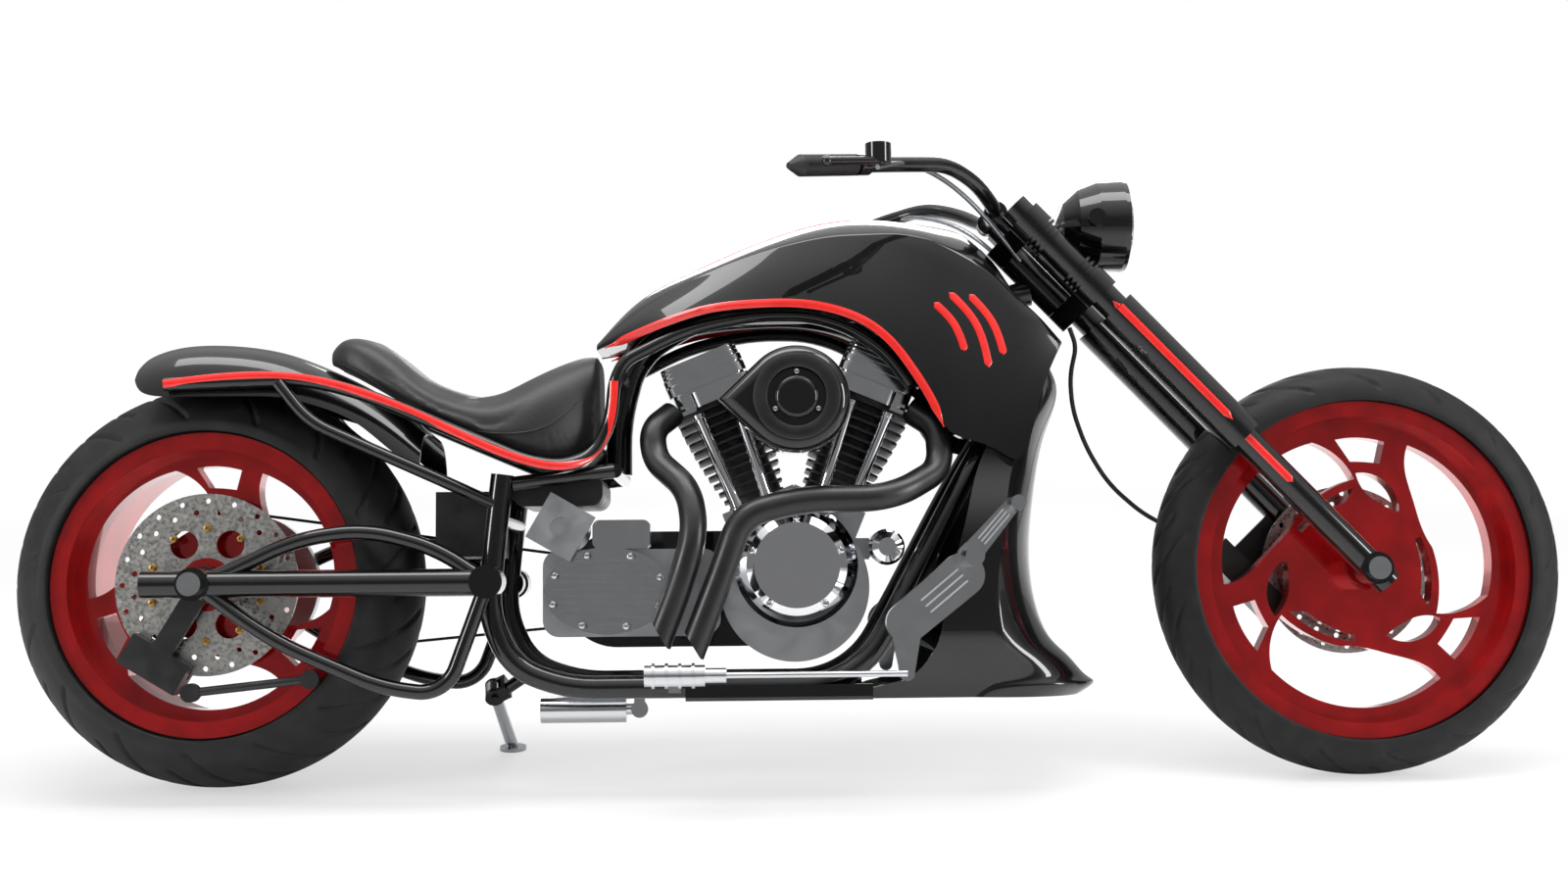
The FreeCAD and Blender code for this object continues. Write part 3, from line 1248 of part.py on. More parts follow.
def primary_cover():
    """A long oval cover over the primary drive on the left."""
    body = new_body("Primary")
    near = s.belt_inner + s.belt_width + s.seat_gap * 11
    sketch = new_sketch(body, "XZ_Plane", -near)
    r = s.primary_radius
    long_way = s.crank_x - s.main_shaft_x + r * 2
    centre_x = (s.crank_x + s.main_shaft_x) / 2
    rounded(sketch, long_way, r * 2, r * 0.98, centre_x, s.crank_z)
    base = pad(body, sketch, s.primary_depth, reverse=True)
    face = number(near + s.primary_depth)
    soften(body, base, s.plate_wall * 1.2, lambda middle, edge: abs(middle.y - face) < 0.01)
    finish(body, "primary_cover")


def loop_outline(a, ra, b, rb):
    """The outline round two circles that lie across the bike, from their tangent points."""
    d = b - a
    heading = math.atan2(d.z, d.x)
    spread = math.acos((ra - rb) / d.Length)

    def spot(centre, radius, angle):
        return centre + Vector(radius * math.cos(angle), 0, radius * math.sin(angle))

    top_a, low_a = spot(a, ra, heading - spread), spot(a, ra, heading + spread)
    top_b, low_b = spot(b, rb, heading - spread), spot(b, rb, heading + spread)
    back_a, back_b = spot(a, ra, heading + math.pi), spot(b, rb, heading)
    edges = [line(top_a, top_b), Part.Arc(top_b, back_b, low_b).toShape(), line(low_b, low_a),
             Part.Arc(low_a, back_a, top_a).toShape()]
    return Part.Wire(edges)


def billet(name, a, ra, b, rb, near, far):
    """A plate between two side positions with the outline of two joined circles."""
    start, end = vector(a[0], near, a[1]), vector(b[0], near, b[1])
    face = Part.Face(loop_outline(start, number(ra), end, number(rb)))
    return feature(name, face.extrude(Vector(0, number(far - near), 0)))


def drive_belt():
    a = vector(s.main_shaft_x, s.belt_inner, s.main_shaft_z)
    b = vector(-half_base, s.belt_inner, rear_axle_z)
    radii = [number(radius + s.seat_gap) for radius in (s.front_pulley_radius, s.rear_pulley_radius)]
    wall = number(s.belt_wall)
    outer = Part.Face(loop_outline(a, radii[0] + wall, b, radii[1] + wall))
    inner = Part.Face(loop_outline(a, radii[0], b, radii[1]))
    band = outer.cut(inner).extrude(Vector(0, number(s.belt_width), 0))
    finish(feature("DriveBelt", band), "drive_belt")


def boxes():
    post_back = s.wheelbase * -0.25 - s.cross_radius - s.seat_gap
    half = s.battery_width / 2
    top = s.battery_low + s.battery_height
    battery = block("Battery", (post_back - s.battery_length, -half, s.battery_low), (post_back, half, top))
    half = s.oil_tank_width / 2
    low = s.gearbox_high + s.starter_radius * 2 + s.seat_gap * 2
    body = new_body("OilTank")
    sketch = new_sketch(body, "XZ_Plane", -half)
    rounded(sketch, s.oil_tank_length, s.oil_tank_height, s.fin_corner * 0.7,
            s.oil_tank_rear + s.oil_tank_length / 2, low + s.oil_tank_height / 2)
    pad(body, sketch, s.oil_tank_width)
    finish(fuse("Boxes", [battery, body]), "battery_and_oil_tank")


# Bodywork stations as shares of each piece's length, height and half width
tank_stations = (
    # along, top, crease, bottom, crease width, bottom width
    (0.000, 0.500, 0.480, 0.458, 0.36, 0.40), (0.099, 0.684, 0.610, 0.512, 0.62, 0.80),
    (0.233, 0.807, 0.735, 0.584, 0.74, 0.99), (0.349, 0.900, 0.812, 0.607, 0.79, 1.00),
    (0.451, 0.965, 0.860, 0.605, 0.80, 1.00), (0.522, 0.993, 0.880, 0.579, 0.80, 1.00),
    (0.586, 1.000, 0.885, 0.528, 0.80, 1.00), (0.637, 0.995, 0.888, 0.451, 0.80, 1.00),
    (0.682, 0.985, 0.880, 0.333, 0.80, 1.00), (0.723, 0.974, 0.862, 0.205, 0.80, 1.00),
    (0.756, 0.965, 0.835, 0.107, 0.79, 1.00), (0.810, 0.940, 0.780, 0.067, 0.77, 0.99),
    (0.862, 0.865, 0.715, 0.030, 0.75, 0.96), (0.903, 0.740, 0.640, 0.002, 0.76, 0.94),
    (0.951, 0.620, 0.570, 0.240, 0.76, 0.93), (1.000, 0.490, 0.475, 0.450, 0.72, 0.90),
)


# The tank stands over the frame's backbone: the tunnel clears it and the cover lies on the tunnel
tunnel_height = s.backbone_height + s.backbone_radius + s.tunnel_room - s.tank_base_z
tank_height = tunnel_height + s.tank_cover


def tank():
    """Sections of a domed top, a side crease and a flat floor, with a tunnel for the frame."""
    half = number(s.tank_width) / 2
    sections = []
    for along_share, top, crease, bottom, crease_out, bottom_out in tank_stations:
        x = number(s.tank_rear_x) + number(s.tank_length) * along_share
        z = [number(s.tank_base_z) + number(tank_height) * share for share in (top, crease, bottom)]
        arch = []
        shoulder = z[0] - (z[0] - z[1]) * 0.30
        for y, height in ((bottom_out, z[2]), (crease_out, z[1]), (crease_out * 0.5, shoulder), (0, z[0]),
                          (-crease_out * 0.5, shoulder), (-crease_out, z[1]), (-bottom_out, z[2])):
            arch.append(Vector(x, half * y, height))
        sections.append(Part.Wire([spline(arch), line(arch[-1], arch[0])]))
    shell = feature("TankShell", loft(sections, True))
    x0, z0, length = s.tank_rear_x, s.tank_base_z, s.tank_length
    low, ahead = z0 - s.overrun, x0 + length + s.overrun
    tunnel = [(x0 + length * a, z0 + tunnel_height * b) for a, b in tunnel_shares]
    outline = [(tunnel[0][0], low)] + tunnel + [(ahead, tunnel[-1][1]), (ahead, low)]
    skirt_x, skirt_z = x0 + length * 0.585, z0 + s.skirt_height
    skirt = [(skirt_x, low), (skirt_x, skirt_z), (ahead, skirt_z), (ahead, low)]
    rooms = [room_body("Tunnel", s.tunnel_width, outline), room_body("SkirtRoom", s.skirt_room, skirt)]
    swing = leg_side * sine(s.steering_lock) - s.steering_offset * cosine(s.steering_lock) + s.clamp_radius
    behind = s.steering_offset + swing + s.move_gap
    steering_room = block("SteeringRoom", (-behind, -s.tank_width, s.cover_low),
                          (s.tank_width, s.tank_width, s.fork_top * 2))
    rooms.append(settle(steering_room, fork_place))
    finish(cut_all("Tank", shell, rooms), "tank")


# The roof of the tunnel as shares of the tank's length and the tunnel's height
tunnel_shares = ((0.02, 0.61), (0.06, 0.70), (0.10, 0.83), (0.17, 0.955), (0.25, 1), (0.62, 1), (0.80, 1.09))


def room_body(name, width, points):
    """A prism across the bike that is cut away from a piece."""
    body = new_body(name)
    sketch = new_sketch(body, "XZ_Plane", -width / 2)
    polygon(sketch, points)
    pad(body, sketch, width)
    return body


seat_stations = (
    # along, top, bottom, half width
    (0.000, 0.900, 0.790, 0.36), (0.061, 1.000, 0.740, 0.60), (0.217, 0.905, 0.560, 0.82),
    (0.364, 0.667, 0.405, 0.93), (0.513, 0.536, 0.255, 0.99), (0.572, 0.514, 0.205, 1.00),
    (0.735, 0.635, 0.065, 1.00), (0.857, 0.765, 0.030, 0.90), (0.950, 0.850, 0.075, 0.72),
    (1.000, 0.885, 0.170, 0.60),
)


def seat():
    """Sections of a padded seat with a rounded top and soft sides over a flat base."""
    half = number(s.seat_width) / 2
    sections = []
    for along_share, top, bottom, width in seat_stations:
        x = number(s.seat_rear_x) + number(s.seat_length) * along_share
        high = number(s.seat_base_z) + number(s.seat_height) * top
        low = number(s.seat_base_z) + number(s.seat_height) * bottom + number(s.seat_gap)
        rise = high - low
        arch = []
        for y, share in ((0.96, 0), (1, 0.35), (0.86, 0.76), (0.5, 0.96), (0, 1), (-0.5, 0.96), (-0.86, 0.76),
                         (-1, 0.35), (-0.96, 0)):
            arch.append(Vector(x, half * width * y, low + rise * share))
        sections.append(Part.Wire([spline(arch), line(arch[-1], arch[0])]))
    finish(feature("Seat", loft(sections, True)), "seat")


def seat_pan():
    """The sheet under the seat, bent along the line of the rail."""
    half = number(s.seat_width) / 2
    wall = number(s.pan_wall)
    sections = []
    for along_share, _, bottom, width in seat_stations[3:]:
        x = number(s.seat_rear_x) + number(s.seat_length) * along_share
        high = number(s.seat_base_z) + number(s.seat_height) * bottom
        low = high - wall
        corners = [Vector(x, half * width * y, z) for y, z in ((1, high), (-1, high), (-1, low), (1, low))]
        sections.append(Part.makePolygon(corners + corners[:1]))
    return feature("SeatPan", loft(sections, True))


fender_stations = (
    # along, top, bottom
    (0.000, 0.860, 0.700), (0.030, 0.915, 0.610), (0.090, 0.965, 0.575), (0.170, 0.995, 0.570),
    (0.264, 1.000, 0.570), (0.387, 0.980, 0.570), (0.513, 0.925, 0.560), (0.636, 0.825, 0.500),
    (0.764, 0.695, 0.390),
    (0.860, 0.570, 0.240), (1.000, 0.330, 0.000),
)
fender_arch_shares = ((0, 0), (0.40, 0.012), (0.72, 0.06), (0.92, 0.20), (1, 0.42))


def fender_section(along_share, top, bottom, inset):
    half = number(s.fender_width) / 2 - inset
    x = number(s.fender_rear_x) + number(s.fender_length) * along_share
    high = number(s.fender_base_z) + number(s.fender_height) * top - inset
    low = number(s.fender_base_z) + number(s.fender_height) * bottom
    if inset:
        low -= number(s.overrun)
    drop = number(s.fender_height)
    edge = low + number(s.fender_wall) * 0.25
    side = [Vector(x, half * y, max(high - drop * share, edge)) for y, share in fender_arch_shares]
    arch = [Vector(x, half, low)] + side[::-1]
    arch += [Vector(p.x, -p.y, p.z) for p in side[1:]] + [Vector(x, -half, low)]
    edges = [line(arch[0], arch[1]), spline(arch[1:-1]), line(arch[-2], arch[-1]), line(arch[-1], arch[0])]
    return Part.Wire(edges)


def rear_fender():
    """A shell over the rear tyre, open below."""
    outer = loft([fender_section(*row, 0) for row in fender_stations], True)
    rows = [list(row) for row in fender_stations]
    inner = loft([fender_section(*row, number(s.fender_wall)) for row in rows], True)
    shell = cut("RearFender", feature("FenderOuter", outer), feature("FenderInner", inner))
    finish(fuse("TailBody", [shell, seat_pan()]), "rear_fender")


chin_levels = (
    # height, front, rear and half width, the two middle ones as shares of the nose
    (0.003, 0.940, 0.200, 0.68), (0.030, 0.985, 0.230, 0.74), (0.060, 0.965, 0.350, 0.81),
    (0.120, 0.905, 0.420, 0.92), (0.170, 0.850, 0.450, 0.98), (0.250, 0.810, 0.470, 1.00),
    (0.440, 0.785, 0.520, 1.00), (0.560, 0.795, 0.555, 0.93), (0.680, 0.815, 0.595, 0.77),
    (0.800, 0.850, 0.660, 0.76), (0.930, 0.885, 0.735, 0.75), (1.000, 0.845, 0.780, 0.74),
)


def chin_section(height, front, rear, width, inset):
    z = number(s.chin_low) + number(s.chin_height) * height
    nose = number(s.chin_nose)
    half = number(s.chin_width) / 2 * width - inset
    x_front = nose * front - inset
    x_rear = nose * rear
    if inset:
        x_rear -= number(s.chin_width) / 2
    bend = x_front - (x_front - nose * rear) * 0.5
    a, b = Vector(x_rear, half, z), Vector(bend, half, z)
    c, d = Vector(bend, -half, z), Vector(x_rear, -half, z)
    return Part.Wire([line(a, b), Part.Arc(b, Vector(x_front, 0, z), c).toShape(), line(c, d), line(d, a)])


def chin_fairing():
    """A shell round the front of the cradle with a shallow tray below the engine."""
    wall = number(s.chin_wall)
    outer = loft([chin_section(*row, 0) for row in chin_levels], True)
    rows = [list(row) for row in chin_levels]
    rows[0][0] += number(s.chin_wall) / number(s.chin_height)
    rows[-1][0] += number(s.overrun) / number(s.chin_height)
    inner = loft([chin_section(*row, wall) for row in rows], True)
    shell = cut("ChinShell", feature("ChinOuter", outer), feature("ChinInner", inner))
    side = s.chin_width / 2 * 0.94
    floor = s.rail_height - s.rail_radius - s.seat_gap
    low = floor - s.chin_wall
    front = s.chin_nose * 0.24
    tray = block("Tray", (s.tray_rear_x, -side, low), (front, side, low + s.tray_height))
    hollow = block("TrayHollow", (s.tray_rear_x - s.overrun, s.chin_wall - side, floor),
                   (front + s.overrun, side - s.chin_wall, low + s.tray_height + s.overrun))
    finish(fuse("ChinFairing", [shell, cut("TrayCut", tray, hollow)]), "chin_fairing")


# Foot controls, brakes and stand
plate_end_shares = (0.526, 0.434)
knee_shares = (0.575, 0.595)
toe_shares = (1, 1.08)
flute_count = 3
control_depth = s.control_arm * 2.2
control_out = s.rail_spacing / 2 + s.rail_radius + s.seat_gap + s.control_reach + control_depth


def control_point(shares):
    return s.control_x + s.control_x * shares[0], s.control_z + s.control_x * shares[1]


def flutes(name, a, b, from_share, to_share, pitch, y):
    """Rods that cut shallow grooves into a plate's face along the line between two points."""
    step = (b[0] - a[0], b[1] - a[1])
    length = root(step[0] * step[0] + step[1] * step[1])
    rods = []
    for i in range(flute_count):
        lift = pitch * (i - (flute_count - 1) / 2)
        shift = (-step[1] / length * lift, step[0] / length * lift)
        ends = [(a[0] + step[0] * share + shift[0], y, a[1] + step[1] * share + shift[1])
                for share in (from_share, to_share)]
        rods.append(rod(name + "Flute", s.flute_radius, *ends))
    return rods


def foot_control(name, label, side):
    """A fluted arm on a round hub, with a link at its end, a peg, a toe peg and a lever below."""
    y_in = s.rail_spacing / 2 + s.rail_radius + s.seat_gap
    y_out = control_out
    face = y_out - s.control_arm * 0.2
    hub = control_point((0, 0))
    plate_end, knee, toe = [control_point(shares) for shares in (plate_end_shares, knee_shares, toe_shares)]
    foot = (s.control_x, s.master_z)

    def across_between(low, high):
        return (low, high) if side > 0 else (-high, -low)

    r = s.hub_boss_radius
    pieces = [
        disc_across(name + "Hub", r, *hub, *across_between(y_in, y_out)),
        disc_across(name + "Ring", r * 0.62, *hub, *across_between(y_out - s.plate_wall, y_out + s.rib_wall)),
        disc_across(name + "Seat", s.rail_radius * 0.8, *hub,
                    *across_between(s.rail_spacing / 2, y_in + s.plate_wall)),
        billet(name + "Arm", hub, r * 1.25, plate_end, r * 1.35, *across_between(y_out - control_depth, face)),
        billet(name + "Link", knee, s.control_arm * 1.5, toe, s.control_arm,
               *across_between(y_out - s.control_arm * 1.7, face)),
        billet(name + "Lever", hub, r, foot, s.control_arm,
               *across_between(y_out - s.control_arm * 2, y_out - s.control_arm * 0.8)),
        disc_across(name + "Root", s.peg_radius * 1.2, *knee, *across_between(y_out - s.control_arm, y_out)),
        disc_across(name + "Peg", s.peg_radius, *knee,
                    *across_between(y_out - s.control_arm, y_out + s.peg_length)),
        disc_across(name + "Toe", s.peg_radius * 0.8, *toe,
                    *across_between(y_out - s.control_arm, y_out + s.peg_length * 0.7)),
        disc_across(name + "Eye", s.control_arm, *foot,
                    *across_between(y_out - control_depth, y_out - s.rib_wall)),
    ]
    rooms = cradle_rooms(side)
    rooms += flutes(name + "Arm", hub, plate_end, 0.34, 1, s.control_arm, face * side)
    rooms += flutes(name + "Link", knee, toe, 0.30, 0.86, s.control_arm * 0.55, face * side)
    if side < 0:
        pieces += brake_master()
    finish(cut_all(name, fuse(name + "Body", pieces), rooms), label)


def cradle_rooms(side):
    """The space that the frame's front leg and lower rail take, with a small gap round it."""
    scale = (s.wheelbase, s.rail_spacing / 2, s.rail_height * 2)
    knee, corner, rear = sided(places((0, 0, 0), scale, cradle_shares[2:5]), side)
    radius = s.rail_radius + s.seat_gap
    return [rod("LegRoom", radius, knee, corner), rod("RailRoom", radius, corner, rear)]


def brake_master():
    """A ribbed cylinder beside the lower rail with a boot and a rod to the pedal lever."""
    y, z = -s.master_offset, s.master_z
    start, end = s.master_x, s.master_x + s.master_length
    pieces = [cylinder("MasterBody", s.master_radius, s.master_length, start, y, z, along)]
    for i in range(4):
        pieces.append(cylinder("MasterRib", s.master_radius * 1.18, s.plate_wall * 0.5,
                               start + s.master_length * (0.12 + 0.22 * i), y, z, along))
    pieces.append(cylinder("MasterBoot", s.master_radius * 0.7, s.master_length * 0.35, end, y, z, along))
    pieces.append(cylinder("MasterRod", s.rod_radius, s.control_x - end, end, y, z, along))
    rail_face = -s.rail_spacing / 2 - s.rail_radius * 0.5
    mid = (start + end) / 2
    pieces.append(block("MasterBracket", (mid - s.plate_wall, y, s.rail_height - s.plate_wall * 0.5),
                        (mid + s.plate_wall, rail_face, z)))
    return pieces


def rear_caliper():
    """A finned block over the lower rear edge of the disc, with its bracket to the axle."""
    wall = s.caliper_wall
    disc_y = s.disc_wall - s.rear_hub_reach
    gap = s.disc_wall / 2 + s.disc_hole_radius / 2
    half = s.rear_caliper_length / 2
    near, far = s.rear_disc_radius - wall * 0.9, s.rear_disc_radius + wall * 0.9
    shell = block("RearShell", (-half, disc_y - wall, near), (half, disc_y + wall * 0.62, far))
    slot = disc_across("RearSlot", s.rear_disc_radius + wall * 0.3, Term(0), Term(0), disc_y - gap, disc_y + gap)
    bracket = block("RearBracket", (-wall * 0.6, disc_y - wall, Term(0)),
                    (wall * 0.6, disc_y - wall * 0.62, near + wall))
    eye = disc_across("RearEye", wall, Term(0), Term(0), disc_y - wall, disc_y - wall * 0.62)
    hole = disc_across("RearHole", s.axle_nut_radius + s.fit_gap, Term(0), Term(0), disc_y - wall * 2, disc_y)
    turn = turned(-149)
    local = at(-half_base, rear_axle_z, 0, turn)
    caliper = cut_all("RearCaliper", fuse("RearCaliperBody", [shell, bracket, eye]), [slot, hole])
    caliper.Placement = local
    finish(fuse("RearBrake", [caliper] + torque_rod()), "rear_caliper")


def torque_rod():
    """A polished rod from the caliper bracket forward to the lower arm."""
    y = -s.rear_tyre_width / 2 - s.move_gap - s.torque_rod_radius - s.seat_gap * 3
    start = (-half_base - s.stay_radius, y, s.rail_height)
    end = (s.arm_cross_x - s.arm_radius * 9, y, s.rail_height + s.stay_radius * 2)
    pieces = [rod("TorqueBar", s.torque_rod_radius * 0.8, start, end)]
    for x, _, z in (start, end):
        pieces.append(disc_across("TorqueEye", s.torque_rod_radius * 1.7, x, z, y - s.torque_rod_radius,
                                  y + s.torque_rod_radius))
    return pieces


def damper():
    """A damper lying under the gearbox between two frame lugs."""
    y = -s.damper_radius * 2
    start = s.wheelbase * -0.22
    end = s.wheelbase * -0.135
    z = s.damper_z
    pieces = [
        cylinder("DamperCan", s.damper_radius, end - start - s.damper_radius, start, y, z, along),
        cylinder("DamperRod", s.torque_rod_radius, s.damper_radius * 2, end - s.damper_radius * 1.5, y, z, along),
        disc_across("DamperEye", s.torque_rod_radius * 1.6, end, z, y - s.torque_rod_radius,
                    y + s.torque_rod_radius),
        block("DamperLink", (end - s.torque_rod_radius, y - s.torque_rod_radius, z),
              (end + s.torque_rod_radius, y + s.torque_rod_radius, s.rail_height)),
    ]
    room = disc_across("DamperRoom", s.cross_radius + s.seat_gap, end, s.rail_height, -s.rail_spacing / 2,
                       s.rail_spacing / 2)
    finish(cut("Damper", fuse("DamperBody", pieces), room), "damper")


def stand_points():
    foot_z = s.stand_foot_y * sine(s.lean_angle) / lean_cosine
    return (s.stand_x, s.stand_y, s.stand_z), (s.stand_foot_x, s.stand_foot_y, foot_z)


def side_stand():
    """A leg on a slanted bolt, with a foot plate that lies flat on the floor."""
    pivot, foot = stand_points()
    floor_turn = Rotation(Vector(1, 0, 0), number(s.lean_angle))
    plate = doc.addObject("Part::Cylinder", "StandFoot")
    bind(plate, "Radius", s.stand_foot_radius)
    bind(plate, "Height", s.stand_foot_wall)
    plate.Placement = Placement(vector(*foot), floor_turn)
    leg_top = vector(*pivot)
    leg_low = vector(*foot) + floor_turn.multVec(vector(0, 0, s.stand_foot_wall / 2))
    axis = stand_axis()
    boss = doc.addObject("Part::Cylinder", "StandBoss")
    bind(boss, "Radius", s.stand_boss_radius)
    bind(boss, "Height", s.stand_boss_wall)
    boss.Placement = Placement(leg_top - axis * (number(s.stand_boss_wall) / 2), Rotation(Vector(0, 0, 1), axis))
    hole = doc.addObject("Part::Cylinder", "StandHole")
    bind(hole, "Radius", s.stand_bolt_radius + s.fit_gap)
    bind(hole, "Height", s.stand_boss_wall * 2)
    hole.Placement = Placement(leg_top - axis * number(s.stand_boss_wall), Rotation(Vector(0, 0, 1), axis))
    leg = doc.addObject("Part::Cylinder", "StandLeg")
    bind(leg, "Radius", s.stand_leg_radius)
    leg.Height = (leg_low - leg_top).Length
    leg.Placement = Placement(leg_top, Rotation(Vector(0, 0, 1), leg_low - leg_top))
    under = doc.addObject("Part::Box", "StandUnder")
    wide = number(s.stand_foot_radius) * 2
    for prop in ("Length", "Width", "Height"):
        bind(under, prop, s.stand_foot_radius * 4)
    below = Placement(Vector(-wide, -wide, -wide * 2), Rotation())
    under.Placement = Placement(vector(*foot), floor_turn).multiply(below)
    finish(cut_all("SideStand", fuse("StandBody", [plate, boss, leg]), [hole, under]), "side_stand")


def stand_axis():
    """The bolt's direction: square to the leg and as near to straight across as that allows."""
    pivot, foot = stand_points()
    leg = (vector(*foot) - vector(*pivot)).normalize()
    sideways = Vector(0, 1, 0)
    return (sideways - leg * sideways.dot(leg)).normalize()


def stand_bracket():
    """Two cheeks joined by a web and a strut to the left rail, with the bolt that carries the stand."""
    axis = stand_axis()
    pivot = vector(*stand_points()[0])
    forward = Vector(1, 0, 0.6)
    forward = (forward - axis * forward.dot(axis)).normalize()
    turn = Rotation(forward, axis.cross(forward), axis, "ZXY")
    local = Placement(pivot, turn)
    inside = s.stand_boss_wall / 2 + s.seat_gap
    cheek = s.plate_wall * 0.7
    reach = s.stand_boss_radius + s.plate_wall * 0.3
    wide = s.stand_boss_radius * 0.8
    pieces = [cylinder("StandBolt", s.stand_bolt_radius, (inside + cheek) * 2 + s.plate_wall, 0, 0,
                       -inside - cheek - s.plate_wall / 2)]
    web_end = inside + cheek * 0.5
    for low, high in ((-inside - cheek, -inside), (inside, inside + cheek)):
        pieces.append(cylinder("StandCheek", s.stand_boss_radius, cheek, 0, 0, low))
        pieces.append(block("StandEar", (Term(0), -wide, low), (reach + cheek, wide, high)))
    pieces.append(block("StandWeb", (reach, -wide, -web_end), (reach + cheek, wide, web_end)))
    for piece in pieces:
        settle(piece, local)
    rail = vector(s.wheelbase * -0.236, s.rail_spacing / 2, s.rail_height * 1.12)
    start = local.multVec(vector(reach + cheek * 0.5, 0, -inside * 0.6))
    strut = doc.addObject("Part::Cylinder", "StandStrut")
    bind(strut, "Radius", s.stand_leg_radius)
    strut.Height = (rail - start).Length
    strut.Placement = Placement(start, Rotation(Vector(0, 0, 1), rail - start))
    return fuse("StandBracket", pieces + [strut])


def build():
    wheels()
    rear_pulley()
    fork_tubes()
    fork_lowers()
    fork_yokes()
    front_axle()
    handlebar()
    grips()
    hand_controls()
    headlight()
    headlight_lens()
    front_caliper()
    front_brake_hose()
    frame_main()
    swingarm()
    rear_axle()
    crankcase()
    finish(fuse("Cylinders", [cylinder_barrel(which) for which in vee_turns]), "cylinders")
    finish(fuse("Heads", [cylinder_head(which) for which in vee_turns]), "cylinder_heads")
    pushrod_tubes()
    cam_cover()
    carburettor()
    air_cleaner()
    pipes = [exhaust("rear", rear_pipe_shares), exhaust("front", front_pipe_shares)]
    finish(fuse("Exhausts", pipes), "exhaust_pipes")
    oil_filter()
    gearbox()
    gearbox_cover()
    starter_motor()
    primary_cover()
    drive_belt()
    boxes()
    tank()
    seat()
    rear_fender()
    chin_fairing()
    foot_control("RightControl", "right_control", -1)
    foot_control("LeftControl", "left_control", 1)
    rear_caliper()
    damper()
    side_stand()


def write_steps():
    """Check each object and shape, then write one file for each sub-part."""
    doc.recompute()
    for item in doc.Objects:
        if "Invalid" in item.State or "Error" in item.State:
            raise RuntimeError("{} failed: {}".format(item.Name, item.State))
    os.makedirs("parts", exist_ok=True)
    for item in sub_parts:
        shape = item.Shape
        if shape.isNull() or not shape.isValid() or not shape.Solids:
            raise RuntimeError("{} has no valid solid".format(item.Label))
    for item in sub_parts:
        item.Shape.exportStep("parts/{}.step".format(item.Label))
    print("wrote", len(sub_parts), "sub-parts")


build()
write_steps()
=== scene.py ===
import math
import bmesh
import bpy
import numpy as np
from mathutils import Matrix, Vector


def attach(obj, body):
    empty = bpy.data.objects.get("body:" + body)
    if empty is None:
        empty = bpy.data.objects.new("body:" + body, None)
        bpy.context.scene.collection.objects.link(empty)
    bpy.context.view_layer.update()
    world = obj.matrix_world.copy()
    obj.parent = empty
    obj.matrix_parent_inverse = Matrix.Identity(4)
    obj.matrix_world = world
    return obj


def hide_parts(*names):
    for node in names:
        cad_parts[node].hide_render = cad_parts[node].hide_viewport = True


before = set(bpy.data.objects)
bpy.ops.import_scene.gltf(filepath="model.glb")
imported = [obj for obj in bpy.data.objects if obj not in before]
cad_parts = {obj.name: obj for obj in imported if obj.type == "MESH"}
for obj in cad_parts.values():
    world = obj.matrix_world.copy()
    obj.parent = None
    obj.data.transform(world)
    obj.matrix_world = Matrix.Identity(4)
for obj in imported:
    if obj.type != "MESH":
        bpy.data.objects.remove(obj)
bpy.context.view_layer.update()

# The bike is measured upright: x forward from the middle of the wheelbase, y to the rider's left, z up
# from the ground line. It then leans over on its side stand.
stance = {"leanDegrees": 10.0, "shiftX": -0.005, "shiftY": -0.160}
leanCos = math.cos(math.radians(stance["leanDegrees"]))
leanSin = math.sin(math.radians(stance["leanDegrees"]))
wheels = {
    "front": {"centre": (0.970, 0.0, 0.35144), "radius": 0.3505, "halfWidth": 0.060, "shoulder": 0.300,
              "bead": 0.267, "lip": 0.287, "rimHalf": 0.050},
    "rear": {"centre": (-0.970, 0.0, 0.34259), "radius": 0.340, "halfWidth": 0.140, "shoulder": 0.265,
             "bead": 0.229, "lip": 0.250, "rimHalf": 0.127},
}
fork = {"rakeDegrees": 43.8}
rakeCos = math.cos(math.radians(fork["rakeDegrees"]))
rakeSin = math.sin(math.radians(fork["rakeDegrees"]))


def toFloor(points):
    # the lean about the x direction, then the shift to the frame's origin, for whole arrays
    p = np.asarray(points, float)
    x, y, z = p[..., 0], p[..., 1], p[..., 2]
    return np.stack([x + stance["shiftX"], y * leanCos + z * leanSin + stance["shiftY"],
                     z * leanCos - y * leanSin], -1)


def toBike(points):
    # the way back from the floor's frame to the upright bike
    p = np.asarray(points, float)
    x, y, z = p[..., 0] - stance["shiftX"], p[..., 1] - stance["shiftY"], p[..., 2]
    return np.stack([x, y * leanCos - z * leanSin, y * leanSin + z * leanCos], -1)


def onFork(height, ahead=0.0, side=0.0):
    # a place measured up the fork from the axle, ahead of its line and to the left
    height, ahead = np.asarray(height, float), np.asarray(ahead, float)
    axle = wheels["front"]["centre"]
    x = axle[0] - rakeSin * height + rakeCos * ahead
    z = axle[2] + rakeCos * height + rakeSin * ahead
    return np.stack(np.broadcast_arrays(x, np.asarray(side, float), z), -1)


# Colours and materials

def colour(hexValue, alpha=1.0):
    # an sRGB hex value as linear light
    raw = np.array([int(hexValue[i:i + 2], 16) for i in (1, 3, 5)]) / 255
    linear = np.where(raw <= 0.04045, raw / 12.92, ((raw + 0.055) / 1.055) ** 2.4)
    return (*linear.tolist(), alpha)


def add(tree, kind, settings=None, **links):
    # adds one node: settings go to its properties or sockets, links join its inputs by name
    node = tree.nodes.new("ShaderNode" + kind)
    for key, value in (settings or {}).items():
        if isinstance(key, int) or key in node.inputs:
            node.inputs[key].default_value = value
        else:
            setattr(node, key, value)
    for key, source in links.items():
        numbered = key[0] == "i" and key[1:].isdigit()
        tree.links.new(source, node.inputs[int(key[1:]) if numbered else key.replace("_", " ")])
    return node


